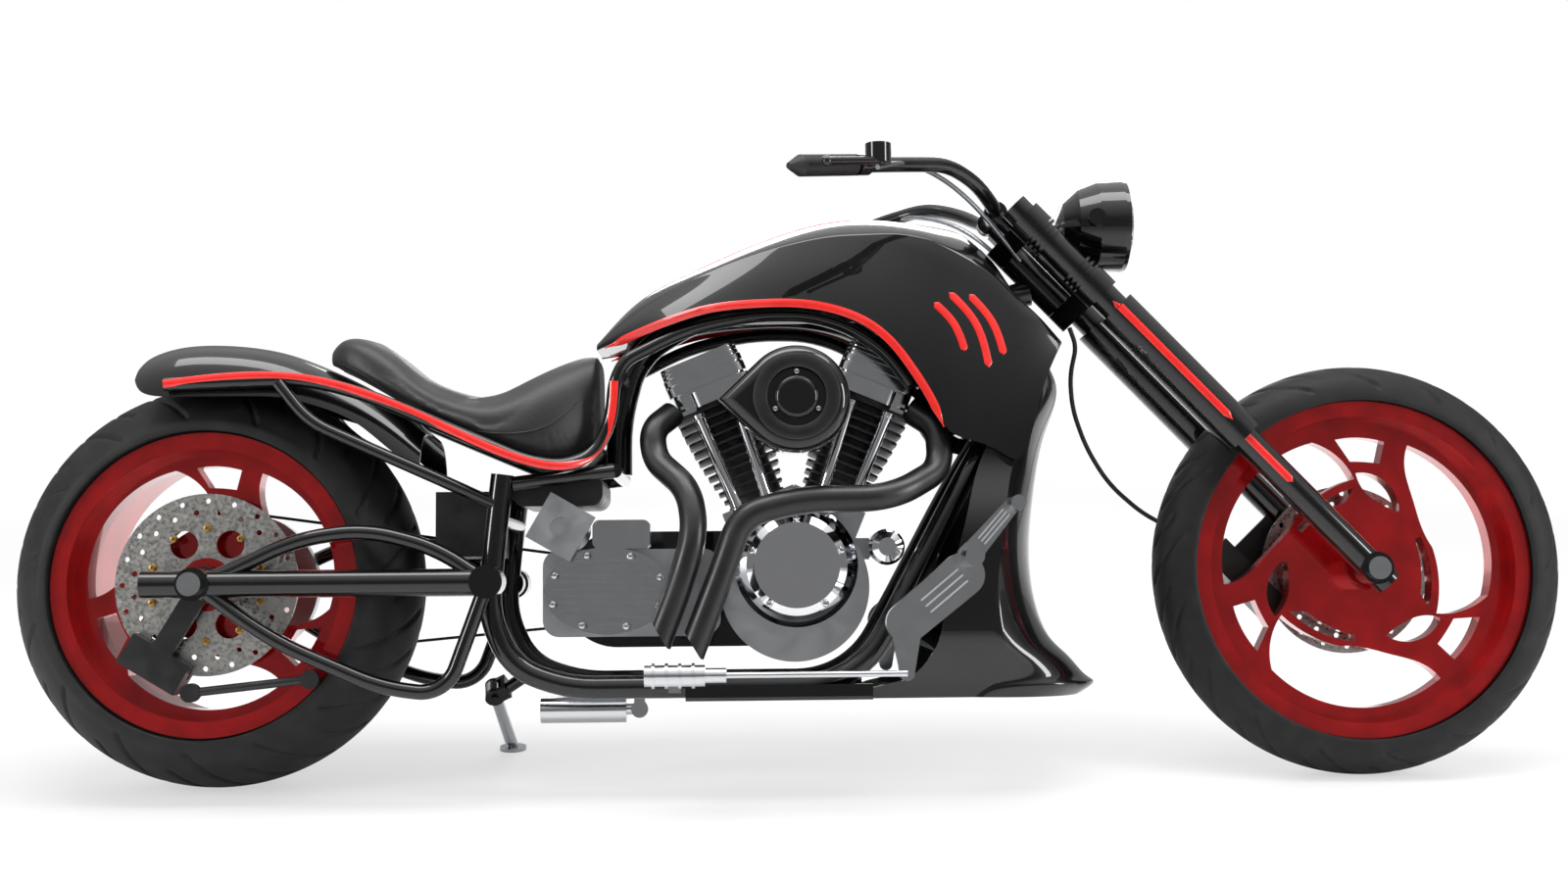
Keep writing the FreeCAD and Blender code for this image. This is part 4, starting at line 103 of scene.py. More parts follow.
def surface(name, base, metallic=0.0, rough=0.4, **more):
    # a material with its principled shader, ready for patterns
    material = bpy.data.materials.new(name)
    material.use_nodes = True
    tree = material.node_tree
    shader = tree.nodes["Principled BSDF"]
    shader.inputs["Base Color"].default_value = colour(base)
    shader.inputs["Metallic"].default_value = metallic
    shader.inputs["Roughness"].default_value = rough
    for key, value in more.items():
        shader.inputs[key.replace("_", " ")].default_value = value
    return material, tree, shader


def place(tree, size=1.0, tilt=(-math.radians(stance["leanDegrees"]), 0.0, 0.0)):
    # object coordinates turned upright with the bike, divided by a real size in metres
    spot = add(tree, "TexCoord")
    turned = add(tree, "Mapping", {"Scale": (1 / size,) * 3, "Rotation": tilt}, Vector=spot.outputs["Object"])
    return turned.outputs["Vector"]


def mixColour(tree, factor, low, high):
    mixed = add(tree, "Mix", {"data_type": "RGBA"})
    tree.links.new(factor, mixed.inputs["Factor"])
    for socket, value in ((mixed.inputs[6], low), (mixed.inputs[7], high)):
        if isinstance(value, str):
            socket.default_value = colour(value)
        else:
            tree.links.new(value, socket)
    return mixed.outputs[2]


def ranged(tree, source, low, high, outLow=0.0, outHigh=1.0):
    return add(tree, "MapRange", {"From Min": low, "From Max": high, "To Min": outLow, "To Max": outHigh},
               Value=source).outputs["Result"]


def bumped(tree, shader, height, strength, distance):
    bump = add(tree, "Bump", {"Strength": strength, "Distance": distance}, Height=height)
    tree.links.new(bump.outputs["Normal"], shader.inputs["Normal"])
    return bump


def glossBlackEnamel():
    # sprayed two-pack enamel under clear coat: deep black, mirror gloss with a faint orange peel of 3 mm
    material, tree, shader = surface("glossBlackEnamel", "#050506", 0.0, 0.3, Coat_Weight=1.0,
                                     Coat_Roughness=0.03, Specular_IOR_Level=0.15)
    peel = add(tree, "TexNoise", {"Scale": 1.0, "Detail": 2.0}, Vector=place(tree, 0.003))
    bumped(tree, shader, peel.outputs["Fac"], 0.05, 0.0002)
    dust = add(tree, "TexNoise", {"Scale": 1.0, "Detail": 5.0}, Vector=place(tree, 0.06))
    tree.links.new(ranged(tree, dust.outputs["Fac"], 0.45, 0.8, 0.28, 0.36), shader.inputs["Roughness"])
    return material


def candyRedEnamel(name, deep, bright, rough):
    # clear red over bright metal: the red deepens where the coat is thick, as on machined spokes
    material, tree, shader = surface(name, bright, 0.75, rough, Coat_Weight=1.0, Coat_Roughness=0.04)
    cloud = add(tree, "TexNoise", {"Scale": 1.0, "Detail": 3.0}, Vector=place(tree, 0.05))
    tree.links.new(mixColour(tree, ranged(tree, cloud.outputs["Fac"], 0.35, 0.7), deep, bright),
                   shader.inputs["Base Color"])
    return material


def redPinstripe():
    # brushed sign enamel under the clear coat: opaque signal red
    material, tree, shader = surface("redPinstripe", "#e3150f", 0.0, 0.3, Coat_Weight=0.8, Coat_Roughness=0.05)
    flow = add(tree, "TexNoise", {"Scale": 1.0, "Detail": 2.0}, Vector=place(tree, 0.02))
    tree.links.new(mixColour(tree, flow.outputs["Fac"], "#c80f0b", "#f01d14"), shader.inputs["Base Color"])
    return material


def polishedAluminium(name, base="#cfd1d4", rough=0.16, grain=0.004):
    # cast aluminium, hand polished: bright with slight cloudy wear and fine random scratches
    material, tree, shader = surface(name, base, 1.0, rough)
    spot = place(tree, grain)
    scratch = add(tree, "TexNoise", {"Scale": 1.0, "Detail": 4.0}, Vector=spot)
    cloud = add(tree, "TexNoise", {"Scale": 1.0, "Detail": 3.0}, Vector=place(tree, 0.03))
    wear = ranged(tree, cloud.outputs["Fac"], 0.3, 0.75, rough * 0.85, rough * 1.25)
    tree.links.new(wear, shader.inputs["Roughness"])
    bumped(tree, shader, scratch.outputs["Fac"], 0.06, 0.0003)
    return material


def chromePlate():
    # chromium over nickel: mirror bright with slight waviness
    material, tree, shader = surface("chromePlate", "#e6e7ea", 1.0, 0.05)
    wave = add(tree, "TexNoise", {"Scale": 1.0, "Detail": 1.0}, Vector=place(tree, 0.02))
    bumped(tree, shader, wave.outputs["Fac"], 0.04, 0.0004)
    return material


def tyreRubber():
    # vulcanised rubber: near black, dusty brown in the low places, matt with a fine moulded grain
    material, tree, shader = surface("tyreRubber", "#0d0d0e", 0.0, 0.62, Specular_IOR_Level=0.35)
    dust = add(tree, "TexNoise", {"Scale": 1.0, "Detail": 6.0}, Vector=place(tree, 0.035))
    tree.links.new(mixColour(tree, ranged(tree, dust.outputs["Fac"], 0.45, 0.8), "#0b0b0c", "#1d1b19"),
                   shader.inputs["Base Color"])
    grain = add(tree, "TexNoise", {"Scale": 1.0, "Detail": 2.0}, Vector=place(tree, 0.0012))
    bumped(tree, shader, grain.outputs["Fac"], 0.15, 0.0003)
    return material


def satinBlackCoat(name="satinBlackCoat", base="#0b0b0c", rough=0.38):
    # baked high temperature lacquer: soft even sheen with a fine powder texture
    material, tree, shader = surface(name, base, 0.0, rough, Coat_Weight=0.15, Coat_Roughness=0.25)
    powder = add(tree, "TexNoise", {"Scale": 1.0, "Detail": 3.0}, Vector=place(tree, 0.0016))
    bumped(tree, shader, powder.outputs["Fac"], 0.1, 0.0002)
    worn = add(tree, "TexNoise", {"Scale": 1.0, "Detail": 4.0}, Vector=place(tree, 0.04))
    wear = ranged(tree, worn.outputs["Fac"], 0.3, 0.75, rough - 0.08, rough + 0.12)
    tree.links.new(wear, shader.inputs["Roughness"])
    return material


def discSteel(name="discSteel", base="#b9b8b4"):
    # ground stainless steel: fine rings from the pads round the axle
    material, tree, shader = surface(name, base, 1.0, 0.28)
    noise = add(tree, "TexNoise", {"Scale": 1.0, "Detail": 4.0}, Vector=place(tree, 0.006))
    tree.links.new(ranged(tree, noise.outputs["Fac"], 0.3, 0.7, 0.2, 0.42), shader.inputs["Roughness"])
    bumped(tree, shader, noise.outputs["Fac"], 0.08, 0.0003)
    return material


def hideLeather():
    # dyed cowhide: black, soft sheen, pebbled grain of 2 mm, with painted shade darkening the hollows of its creases
    material, tree, shader = surface("hideLeather", "#121113", 0.0, 0.46, Sheen_Weight=0.1)
    pebble = add(tree, "TexVoronoi", {"Scale": 1.0, "feature": "F1"}, Vector=place(tree, 0.0022))
    crease = add(tree, "TexNoise", {"Scale": 1.0, "Detail": 5.0}, Vector=place(tree, 0.012))
    both = add(tree, "Math", {"operation": "ADD"}, i0=pebble.outputs["Distance"], i1=crease.outputs["Fac"])
    bumped(tree, shader, both.outputs[0], 0.22, 0.0005)
    # painted shade: the colour follows the crease relief, darker in its hollows and lighter on its ridges
    tree.links.new(mixColour(tree, crease.outputs["Fac"], "#0e0d0f", "#1b1a1c"), shader.inputs["Base Color"])
    return material


def mouldedRubber():
    # grips, belt and hoses: dull black elastomer
    material, tree, shader = surface("mouldedRubber", "#0c0c0d", 0.0, 0.55)
    grain = add(tree, "TexNoise", {"Scale": 1.0, "Detail": 3.0}, Vector=place(tree, 0.002))
    bumped(tree, shader, grain.outputs["Fac"], 0.15, 0.0003)
    return material


def lampGlass():
    # pressed clear glass over a bright bowl
    material, tree, shader = surface("lampGlass", "#dfe7ee", 0.0, 0.03, Transmission_Weight=0.95, IOR=1.5)
    flute = add(tree, "TexWave", {"Scale": 1.0, "bands_direction": "Y"}, Vector=place(tree, 0.02))
    bumped(tree, shader, flute.outputs["Fac"], 0.2, 0.001)
    return material


def braidedSteel():
    # woven stainless wire under clear sleeve: grey, with a fine diamond weave of 1.5 mm
    material, tree, shader = surface("braidedSteel", "#8d9094", 0.9, 0.32)
    weave = add(tree, "TexChecker", {"Scale": 1.0}, Vector=place(tree, 0.0015))
    tree.links.new(mixColour(tree, weave.outputs["Fac"], "#6f7276", "#a6a9ad"), shader.inputs["Base Color"])
    return material


print("materials")
black = glossBlackEnamel()
rimRed = candyRedEnamel("candyRedEnamel", "#a60c10", "#c41318", 0.24)
stripeRed = redPinstripe()
aluminium = polishedAluminium("polishedAluminium")
castAluminium = polishedAluminium("castAluminium", "#b9bbbe", 0.34, 0.002)
chrome = chromePlate()
tyreBlack = tyreRubber()
satin = satinBlackCoat()
engineBlack = satinBlackCoat("wrinkleBlackLacquer", "#101011", 0.5)
steel = discSteel()
leather = hideLeather()
rubber = mouldedRubber()
glass = lampGlass()
bronze = polishedAluminium("goldAnodisedAluminium", "#b08a4a", 0.3, 0.003)
braid = braidedSteel()

nodeFinish = {
    "front_rim": rimRed, "rear_rim": rimRed, "front_disc": steel, "rear_disc": steel,
    "rear_pulley": castAluminium, "front_axle": aluminium, "rear_axle": aluminium, "fork_tubes": black,
    "fork_lowers": black, "fork_yokes": black, "handlebar": black, "grips": rubber, "hand_controls": black,
    "headlight": black, "headlight_lens": glass, "front_caliper": satin, "front_brake_hose": rubber,
    "frame_main": black, "swingarm": black, "crankcase": castAluminium, "cylinders": engineBlack,
    "cylinder_heads": aluminium, "pushrod_tubes": chrome, "cam_cover": chrome, "carburettor": castAluminium,
    "air_cleaner": black, "exhaust_pipes": satin, "oil_filter": chrome, "gearbox": castAluminium,
    "gearbox_cover": aluminium, "starter_motor": castAluminium, "primary_cover": black, "drive_belt": rubber,
    "battery_and_oil_tank": satin, "tank": black, "chin_fairing": black, "rear_fender": black, "seat": leather,
    "left_control": aluminium, "right_control": aluminium, "rear_caliper": satin, "damper": aluminium,
    "side_stand": aluminium, "front_tyre": tyreBlack, "rear_tyre": tyreBlack,
}
for nodeName, finish in nodeFinish.items():
    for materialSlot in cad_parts[nodeName].material_slots:
        materialSlot.material = finish


# Shapes from whole arrays

def meshPiece(name, points, faces, material, body, smooth=True):
    # a mesh in the bike's upright frame, leaned over and set on its body
    mesh = bpy.data.meshes.new(name)
    mesh.from_pydata(toFloor(points).tolist(), [], faces)
    mesh.polygons.foreach_set("use_smooth", [smooth] * len(mesh.polygons))
    mesh.update()
    mesh.set_sharp_from_angle(angle=math.radians(38))
    piece = bpy.data.objects.new(name, mesh)
    bpy.context.scene.collection.objects.link(piece)
    mesh.materials.append(material)
    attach(piece, body)
    return piece


def gridFaces(rows, columns, wrapRows=False, wrapColumns=False):
    # quads between neighbours of a grid of rows by columns
    r = np.arange(rows if wrapRows else rows - 1)[:, None]
    c = np.arange(columns if wrapColumns else columns - 1)[None, :]
    r2, c2 = (r + 1) % rows, (c + 1) % columns
    quads = np.stack([r * columns + c, r2 * columns + c, r2 * columns + c2, r * columns + c2], -1)
    return quads.reshape(-1, 4).tolist()


def smoothPath(points, count):
    # a natural cubic spline through the points, read at even shares of its chord length
    p = np.asarray(points, float)
    t = np.concatenate([[0], np.cumsum(np.linalg.norm(np.diff(p, axis=0), axis=1))])
    n, h = len(p), np.diff(t)
    a = np.eye(n)
    i = np.arange(1, n - 1)
    a[i, i - 1], a[i, i], a[i, i + 1] = h[:-1], 2 * (h[:-1] + h[1:]), h[1:]
    right = np.zeros_like(p)
    slope = np.diff(p, axis=0) / h[:, None]
    right[1:-1] = 6 * (slope[1:] - slope[:-1])
    m = np.linalg.solve(a, right)
    q = np.linspace(0, t[-1], count)
    k = np.clip(np.searchsorted(t, q, side="right") - 1, 0, n - 2)
    d, e, w = (t[k + 1] - q)[:, None], (q - t[k])[:, None], h[k][:, None]
    bend = (m[k] * d ** 3 + m[k + 1] * e ** 3) / (6 * w)
    return bend + (p[k] / w - m[k] * w / 6) * d + (p[k + 1] / w - m[k + 1] * w / 6) * e


def sweep(path, profile, up=(0.0, 1.0, 0.0)):
    # carries a flat profile (across, out) along a path; 'out' keeps near the up direction
    path, up = np.asarray(path, float), np.asarray(up, float)
    if up.ndim == 1:
        up = np.broadcast_to(up, path.shape)
    tangent = np.gradient(path, axis=0)
    tangent /= np.linalg.norm(tangent, axis=1, keepdims=True)
    across = np.cross(up, tangent)
    across /= np.linalg.norm(across, axis=1, keepdims=True)
    out = np.cross(tangent, across)
    profile = np.asarray(profile, float)
    return path[:, None] + across[:, None] * profile[None, :, :1] + out[:, None] * profile[None, :, 1:]


def tubePiece(name, path, radius, material, body, sides=12, up=(0.0, 1.0, 0.0)):
    # a round tube along a path, its ends closed by one face each
    turn = np.linspace(0, 2 * np.pi, sides, endpoint=False)
    rings = sweep(path, np.stack([np.cos(turn), np.sin(turn)], -1) * radius, up)
    rows = len(rings)
    faces = gridFaces(rows, sides, False, True)
    faces += [list(range(sides)), list(range((rows - 1) * sides, rows * sides))[::-1]]
    return meshPiece(name, rings.reshape(-1, 3), faces, material, body)


def skinHeight(skin, x, z, side):
    # the outermost y of a piece's skin at places (x, z) of the upright bike, for whole arrays:
    # each place is tested against each near triangle's shadow on the side plane
    mesh = skin.data
    corners = np.empty(len(mesh.vertices) * 3)
    mesh.vertices.foreach_get("co", corners)
    corners = toBike(corners.reshape(-1, 3))
    mesh.calc_loop_triangles()
    index = np.empty(len(mesh.loop_triangles) * 3, np.int64)
    mesh.loop_triangles.foreach_get("vertices", index)
    tri = corners[index.reshape(-1, 3)]
    low, high = tri.min(1), tri.max(1)
    near = (high[:, 0] > x.min()) & (low[:, 0] < x.max()) & (high[:, 2] > z.min()) & (low[:, 2] < z.max())
    near &= (tri[:, :, 1] * side).max(1) > 0
    a, b, c = tri[near].transpose(1, 0, 2)
    base = (b[:, 0] - a[:, 0]) * (c[:, 2] - a[:, 2]) - (c[:, 0] - a[:, 0]) * (b[:, 2] - a[:, 2])
    keep = np.abs(base) > 1e-12
    a, b, c, base = a[keep], b[keep], c[keep], base[keep]
    found = np.full(len(x), -np.inf)
    for part in np.array_split(np.arange(len(x)), max(1, len(x) * len(a) // 2000000)):
        px, pz = x[part, None], z[part, None]
        u = ((px - a[:, 0]) * (c[:, 2] - a[:, 2]) - (c[:, 0] - a[:, 0]) * (pz - a[:, 2])) / base
        v = ((b[:, 0] - a[:, 0]) * (pz - a[:, 2]) - (px - a[:, 0]) * (b[:, 2] - a[:, 2])) / base
        y = a[:, 1] + u * (b[:, 1] - a[:, 1]) + v * (c[:, 1] - a[:, 1])
        inside = (u >= -1e-6) & (v >= -1e-6) & (u + v <= 1 + 1e-6)
        found[part] = np.where(inside, y * side, -np.inf).max(1)
    good = np.isfinite(found)
    steps = np.arange(len(found))
    return np.interp(steps, steps[good], found[good]) * side


def bandPiece(name, skin, line, width, side, body, material=None, lift=0.0012, count=120):
    # a raised painted band: a low arched profile carried along a line that lies on a skin
    flat = smoothPath([(x, 0, z) for x, z in line], count)
    across = np.linspace(-1, 1, 7)
    tangent = np.gradient(flat, axis=0)
    tangent /= np.linalg.norm(tangent, axis=1, keepdims=True)
    normal = np.stack([-tangent[:, 2], np.zeros(count), tangent[:, 0]], -1)
    half = width / 2 * np.clip(np.minimum(np.arange(count), count - 1 - np.arange(count)) / 6, 0.15, 1)
    spots = flat[:, None] + normal[:, None] * (across[None] * half[:, None])[..., None]
    y = skinHeight(skin, spots[..., 0].ravel(), spots[..., 2].ravel(), side).reshape(count, 7)
    middle = np.median(y * side, 1)[:, None]
    y = np.clip(y * side, middle - 0.008, middle + 0.008) * side
    upper = spots.copy()
    upper[..., 1] = y + side * lift * (1 - 0.6 * across ** 4)
    lower = spots.copy()
    lower[..., 1] = y - side * 0.001
    ring = np.concatenate([upper, lower[:, ::-1]], 1)
    sides = ring.shape[1]
    faces = gridFaces(count, sides, False, True)
    faces += [list(range(sides)), list(range((count - 1) * sides, count * sides))[::-1]]
    piece = meshPiece(name, ring.reshape(-1, 3), faces, material or stripeRed, body)
    recalc(piece)
    return piece


def turnPiece(name, spots, axis, profile, material, body, sides=32):
    # one closed profile (radius, height) turned about an axis at each of the spots, all in one mesh
    spots, axis = np.atleast_2d(np.asarray(spots, float)), np.asarray(axis, float)
    axis = axis / np.linalg.norm(axis)
    first = np.cross(axis, (0.0, 0.0, 1.0) if abs(axis[2]) < 0.9 else (1.0, 0.0, 0.0))
    first /= np.linalg.norm(first)
    second = np.cross(axis, first)
    profile = np.maximum(np.asarray(profile, float), (1e-4, -9))
    turn = np.linspace(0, 2 * np.pi, sides, endpoint=False)
    ring = np.cos(turn)[:, None] * first + np.sin(turn)[:, None] * second
    shape = profile[:, None, :1] * ring[None] + profile[:, None, 1:] * axis
    points = spots[:, None, None] + shape[None]
    rows, each = len(profile), len(profile) * sides
    one = gridFaces(rows, sides, False, True)
    one += [list(range(sides)), list(range((rows - 1) * sides, rows * sides))[::-1]]
    faces = [[corner + each * i for corner in face] for i in range(len(spots)) for face in one]
    piece = meshPiece(name, points.reshape(-1, 3), faces, material, body)
    recalc(piece)
    return piece


def hoopPiece(name, spots, axis, profile, material, body, sides=96):
    # a ring with an open middle: a closed profile (radius, height) turned about an axis
    spots, axis = np.atleast_2d(np.asarray(spots, float)), np.asarray(axis, float)
    axis = axis / np.linalg.norm(axis)
    first = np.cross(axis, (0.0, 0.0, 1.0) if abs(axis[2]) < 0.9 else (1.0, 0.0, 0.0))
    first /= np.linalg.norm(first)
    second = np.cross(axis, first)
    profile = np.asarray(profile, float)
    turn = np.linspace(0, 2 * np.pi, sides, endpoint=False)
    ring = np.cos(turn)[:, None] * first + np.sin(turn)[:, None] * second
    shape = profile[:, None, :1] * ring[None] + profile[:, None, 1:] * axis
    points = spots[:, None, None] + shape[None]
    each = len(profile) * sides
    faces = [[corner + each * i for corner in face] for i in range(len(spots))
             for face in gridFaces(len(profile), sides, True, True)]
    piece = meshPiece(name, points.reshape(-1, 3), faces, material, body)
    recalc(piece)
    return piece


def recalc(piece):
    # turns every face of a closed mesh outwards
    work = bmesh.new()
    work.from_mesh(piece.data)
    bmesh.ops.recalc_face_normals(work, faces=work.faces)
    work.to_mesh(piece.data)
    work.free()


# Tyres

tread = {
    "front": {"blocks": 34, "columns": 952, "rows": 64, "sweep": 0.55, "depth": 0.0035, "grooveShare": 0.13},
    "rear": {"blocks": 30, "columns": 960, "rows": 88, "sweep": 0.50, "depth": 0.0045, "grooveShare": 0.11},
}


def tyrePiece(which):
    # one surface of revolution: y and radius follow a smooth profile from bead to bead, and the radius
    # drops where slanted grooves cross the tread, their angle growing with the distance from the middle
    size, cut = wheels[which], tread[which]
    rise = size["radius"] - size["shoulder"]
    crown = (size["halfWidth"] ** 2 + rise ** 2) / (2 * rise)
    middle = size["radius"] - crown
    limit = math.asin(min(1.0, size["halfWidth"] / crown)) if rise < crown else math.pi / 2
    arc = np.linspace(0, limit, 14)[1:]
    seat = size["rimHalf"]
    halfY = np.concatenate([[0], np.sin(arc) * crown,
                            [size["halfWidth"] * 0.995, seat + 0.006, seat - 0.006, seat - 0.0065]])
    halfR = np.concatenate([[size["radius"]], middle + np.cos(arc) * crown,
                            [size["shoulder"] - 0.012, size["lip"] + 0.006, size["lip"] + 0.0005,
                             size["bead"] + 0.001]])
    line = np.stack([np.concatenate([-halfY[:0:-1], halfY]), np.zeros(2 * len(halfY) - 1),
                     np.concatenate([halfR[:0:-1], halfR])], -1)
    profile = smoothPath(line, cut["rows"])
    share = np.abs(profile[:, 0]) / size["halfWidth"]
    side = np.sign(profile[:, 0])
    turn = np.linspace(0, 2 * np.pi, cut["columns"], endpoint=False)
    across = share[None, :]
    phase = turn[:, None] / (2 * np.pi) * cut["blocks"] + cut["sweep"] * (across * 2.2 + across ** 3)
    phase = phase + 0.25 * (1 + side)[None, :]
    near = np.abs((phase % 1.0) - 0.5)
    groove = np.clip(1.35 - near / cut["grooveShare"] * 1.3, 0, 1)
    outer = profile[None, :, 2] > size["shoulder"] - 0.004
    every = (np.floor(phase) % 2)
    reach = np.where(every > 0, 0.97, 0.72)
    window = np.clip((across - 0.10) / 0.05, 0, 1) * np.clip((reach - across) / 0.05, 0, 1) * outer
    ribs = 0.0006 * np.clip(np.sin((profile[None, :, 2] - size["lip"]) * 2 * np.pi / 0.006), 0, 1) * (~outer)
    drop = cut["depth"] * groove * window - ribs
    normalY = np.gradient(profile[:, 2])
    normalR = -np.gradient(profile[:, 0])
    scale = np.hypot(normalY, normalR)
    outY, outR = normalY / scale, normalR / scale
    flip = np.sign(outR[len(outR) // 2])
    outY, outR = outY * flip, outR * flip
    y = profile[None, :, 0] - drop * outY[None]
    r = profile[None, :, 2] - drop * outR[None]
    cx, cy, cz = size["centre"]
    points = np.stack([cx + r * np.cos(turn)[:, None], cy + y, cz + r * np.sin(turn)[:, None]], -1)
    faces = gridFaces(cut["columns"], cut["rows"], True, True)
    piece = meshPiece(which + "TyreTread", points.reshape(-1, 3), faces, tyreBlack, which + "_wheel")
    recalc(piece)
    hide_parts(which + "_tyre")
    return piece


print("tyres")
for which in ("front", "rear"):
    tyrePiece(which)


# Bodywork

tankShape = {
    "rear": -0.332, "low": 0.537, "length": 0.780, "height": 0.430, "half": 0.150, "wall": 0.004,
    "tunnelHalf": 0.088, "skirtHalf": 0.126, "skirtFrom": 0.585, "skirtTop": 0.725, "forkRoom": -0.0832,
    # along, top, crease, bottom, crease width, bottom width, as shares
    "stations": [
        (0, .500, .480, .458, .36, .40), (.099, .684, .610, .512, .62, .80), (.233, .807, .735, .584, .74, .99),
        (.349, .900, .812, .607, .79, 1), (.451, .965, .860, .605, .80, 1), (.522, .993, .880, .579, .80, 1),
        (.586, 1, .885, .528, .80, 1), (.637, .995, .888, .451, .80, 1), (.682, .985, .880, .333, .80, 1),
        (.723, .974, .862, .205, .80, 1), (.756, .965, .835, .107, .79, 1), (.810, .940, .780, .067, .77, .99),
        (.862, .865, .715, .030, .75, .96), (.903, .740, .640, .002, .76, .94), (.951, .620, .570, .240, .76, .93),
        (1, .490, .475, .450, .72, .90)],
    # the tunnel's roof: share of the length, height in metres
    "roof": [(0, 0.5), (.0195, 0.5), (.02, .722), (.06, .749), (.10, .788), (.17, .826), (.25, .840), (.62, .840),
             (.80, .867), (1, .867)],
}
seatShape = {
    "rear": -0.785, "low": 0.538, "length": 0.456, "height": 0.222, "half": 0.150, "panWall": 0.009,
    # along, top, bottom, half width, as shares
    "stations": [(0, .900, .790, .36), (.061, 1, .740, .60), (.217, .905, .560, .82), (.364, .667, .405, .93),
                 (.513, .536, .255, .99), (.572, .514, .205, 1), (.735, .635, .065, 1), (.857, .765, .030, .90),
                 (.950, .850, .075, .72), (1, .885, .170, .60)],
}
fenderShape = {
    "rear": -1.086, "low": 0.520, "length": 0.470, "height": 0.228, "half": 0.152, "wall": 0.004,
    # along, top, bottom, then the arch from the middle to the side: width, drop
    "stations": [(0, .860, .700), (.030, .915, .610), (.090, .965, .575), (.170, .995, .570), (.264, 1, .570),
                 (.387, .980, .570), (.513, .925, .560), (.636, .825, .500), (.764, .695, .390), (.860, .570, .240),
                 (1, .330, 0)],
    "arch": [(0, 0), (.40, .012), (.72, .06), (.92, .20), (1, .42)],
}
chinShape = {
    "low": 0.143, "height": 0.568, "nose": 0.516, "half": 0.161, "wall": 0.004,
    # height, front, rear, half width, as shares
    "stations": [(.003, .940, .200, .68), (.030, .985, .230, .74), (.060, .965, .350, .81), (.120, .905, .420, .92),
                 (.170, .850, .450, .98), (.250, .810, .470, 1), (.440, .785, .520, 1), (.560, .795, .555, .93),
                 (.680, .815, .595, .77), (.800, .850, .660, .76), (.930, .885, .735, .75), (1, .845, .780, .74)],
    "tray": {"rear": -0.182, "front": 0.124, "half": 0.1513, "low": 0.1447, "high": 0.1707},
}


def shellFaces(rows, columns):
    # a tube of closed sections with a flat face at each end
    faces = gridFaces(rows, columns, False, True)
    return faces + [list(range(columns)), list(range((rows - 1) * columns, rows * columns))[::-1]]


def bothSides(half):
    # a half section (y, z) from its outer edge to the middle, mirrored on to the other side
    mirrored = half[:, -2::-1] * np.array([-1.0, 1.0])
    return np.concatenate([half, mirrored], 1)


def joined(name, parts, material, body):
    # several closed shells as one mesh
    points, faces, start = [], [], 0
    for spots, some in parts:
        spots = np.asarray(spots, float).reshape(-1, 3)
        points.append(spots)
        faces += [[corner + start for corner in face] for face in some]
        start += len(spots)
    piece = meshPiece(name, np.concatenate(points), faces, material, body)
    recalc(piece)
    return piece


def tankPiece():
    # each section: a slightly bowed side from the bottom edge to the crease, then the dome
    # |y / a|^n + |h / b|^n = 1 with n = 1.37 over the crease; below it the same section 4 mm further in
    # runs under the tunnel's roof
    t = tankShape
    scale = (t["length"], t["height"], t["height"], t["height"], t["half"], t["half"])
    rows = smoothPath(np.array(t["stations"]) * scale, 170)
    along, top, crease, bottom, creaseOut, bottomOut = rows.T
    top, crease, bottom = (np.asarray(v) + t["low"] for v in (top, crease, bottom))
    side = np.linspace(0, 1, 12)[None]
    y = bottomOut[:, None] + (creaseOut - bottomOut)[:, None] * side + 0.004 * np.sin(side * np.pi)
    z = bottom[:, None] + (crease - bottom)[:, None] * side
    turn = np.linspace(0, np.pi / 2, 26)[None, 1:]
    domeY = creaseOut[:, None] * np.cos(turn) ** (2 / 1.37)
    domeZ = crease[:, None] + (top - crease)[:, None] * np.sin(turn) ** (2 / 1.37)
    outer = np.stack([np.concatenate([y, domeY], 1), np.concatenate([z, domeZ], 1)], -1)
    share = along / t["length"]
    knots = np.array(t["roof"])
    roof = np.maximum(np.interp(share, knots[:, 0], knots[:, 1]), bottom + 0.001)
    skirt = (share >= t["skirtFrom"]) & (bottom < t["skirtTop"])
    narrow = np.minimum(t["tunnelHalf"], bottomOut - t["wall"])
    wide = np.where(skirt, np.minimum(t["skirtHalf"], bottomOut - t["wall"]), narrow)
    level = np.where(skirt, np.minimum(t["skirtTop"], np.maximum(roof, bottom)), bottom)
    innerY = np.stack([wide, wide, narrow], 1)
    innerZ = np.stack([bottom, level, level], 1)
    inside = np.linspace(1, 0, 12)[None] * narrow[:, None]
    skin = np.stack([np.interp(inside[i], outer[i, ::-1, 0], outer[i, ::-1, 1]) for i in range(len(rows))])
    ceiling = np.minimum(roof[:, None], skin - t["wall"])
    ceiling = np.maximum(ceiling, bottom[:, None] + 0.0005)
    inner = np.stack([np.concatenate([innerY, inside], 1), np.concatenate([innerZ, ceiling], 1)], -1)
    loop = np.concatenate([bothSides(outer), bothSides(inner)[:, ::-1]], 1)
    x = np.broadcast_to((t["rear"] + along)[:, None], loop.shape[:2])
    points = np.stack([x, loop[..., 0], loop[..., 1]], -1)
    axle = wheels["front"]["centre"]
    ahead = (points[..., 0] - axle[0]) * rakeCos + (points[..., 2] - axle[2]) * rakeSin
    points[..., 0] -= np.maximum(ahead - t["forkRoom"], 0) / rakeCos
    return joined("tankShell", [(points, shellFaces(*points.shape[:2]))], black, "chassis")


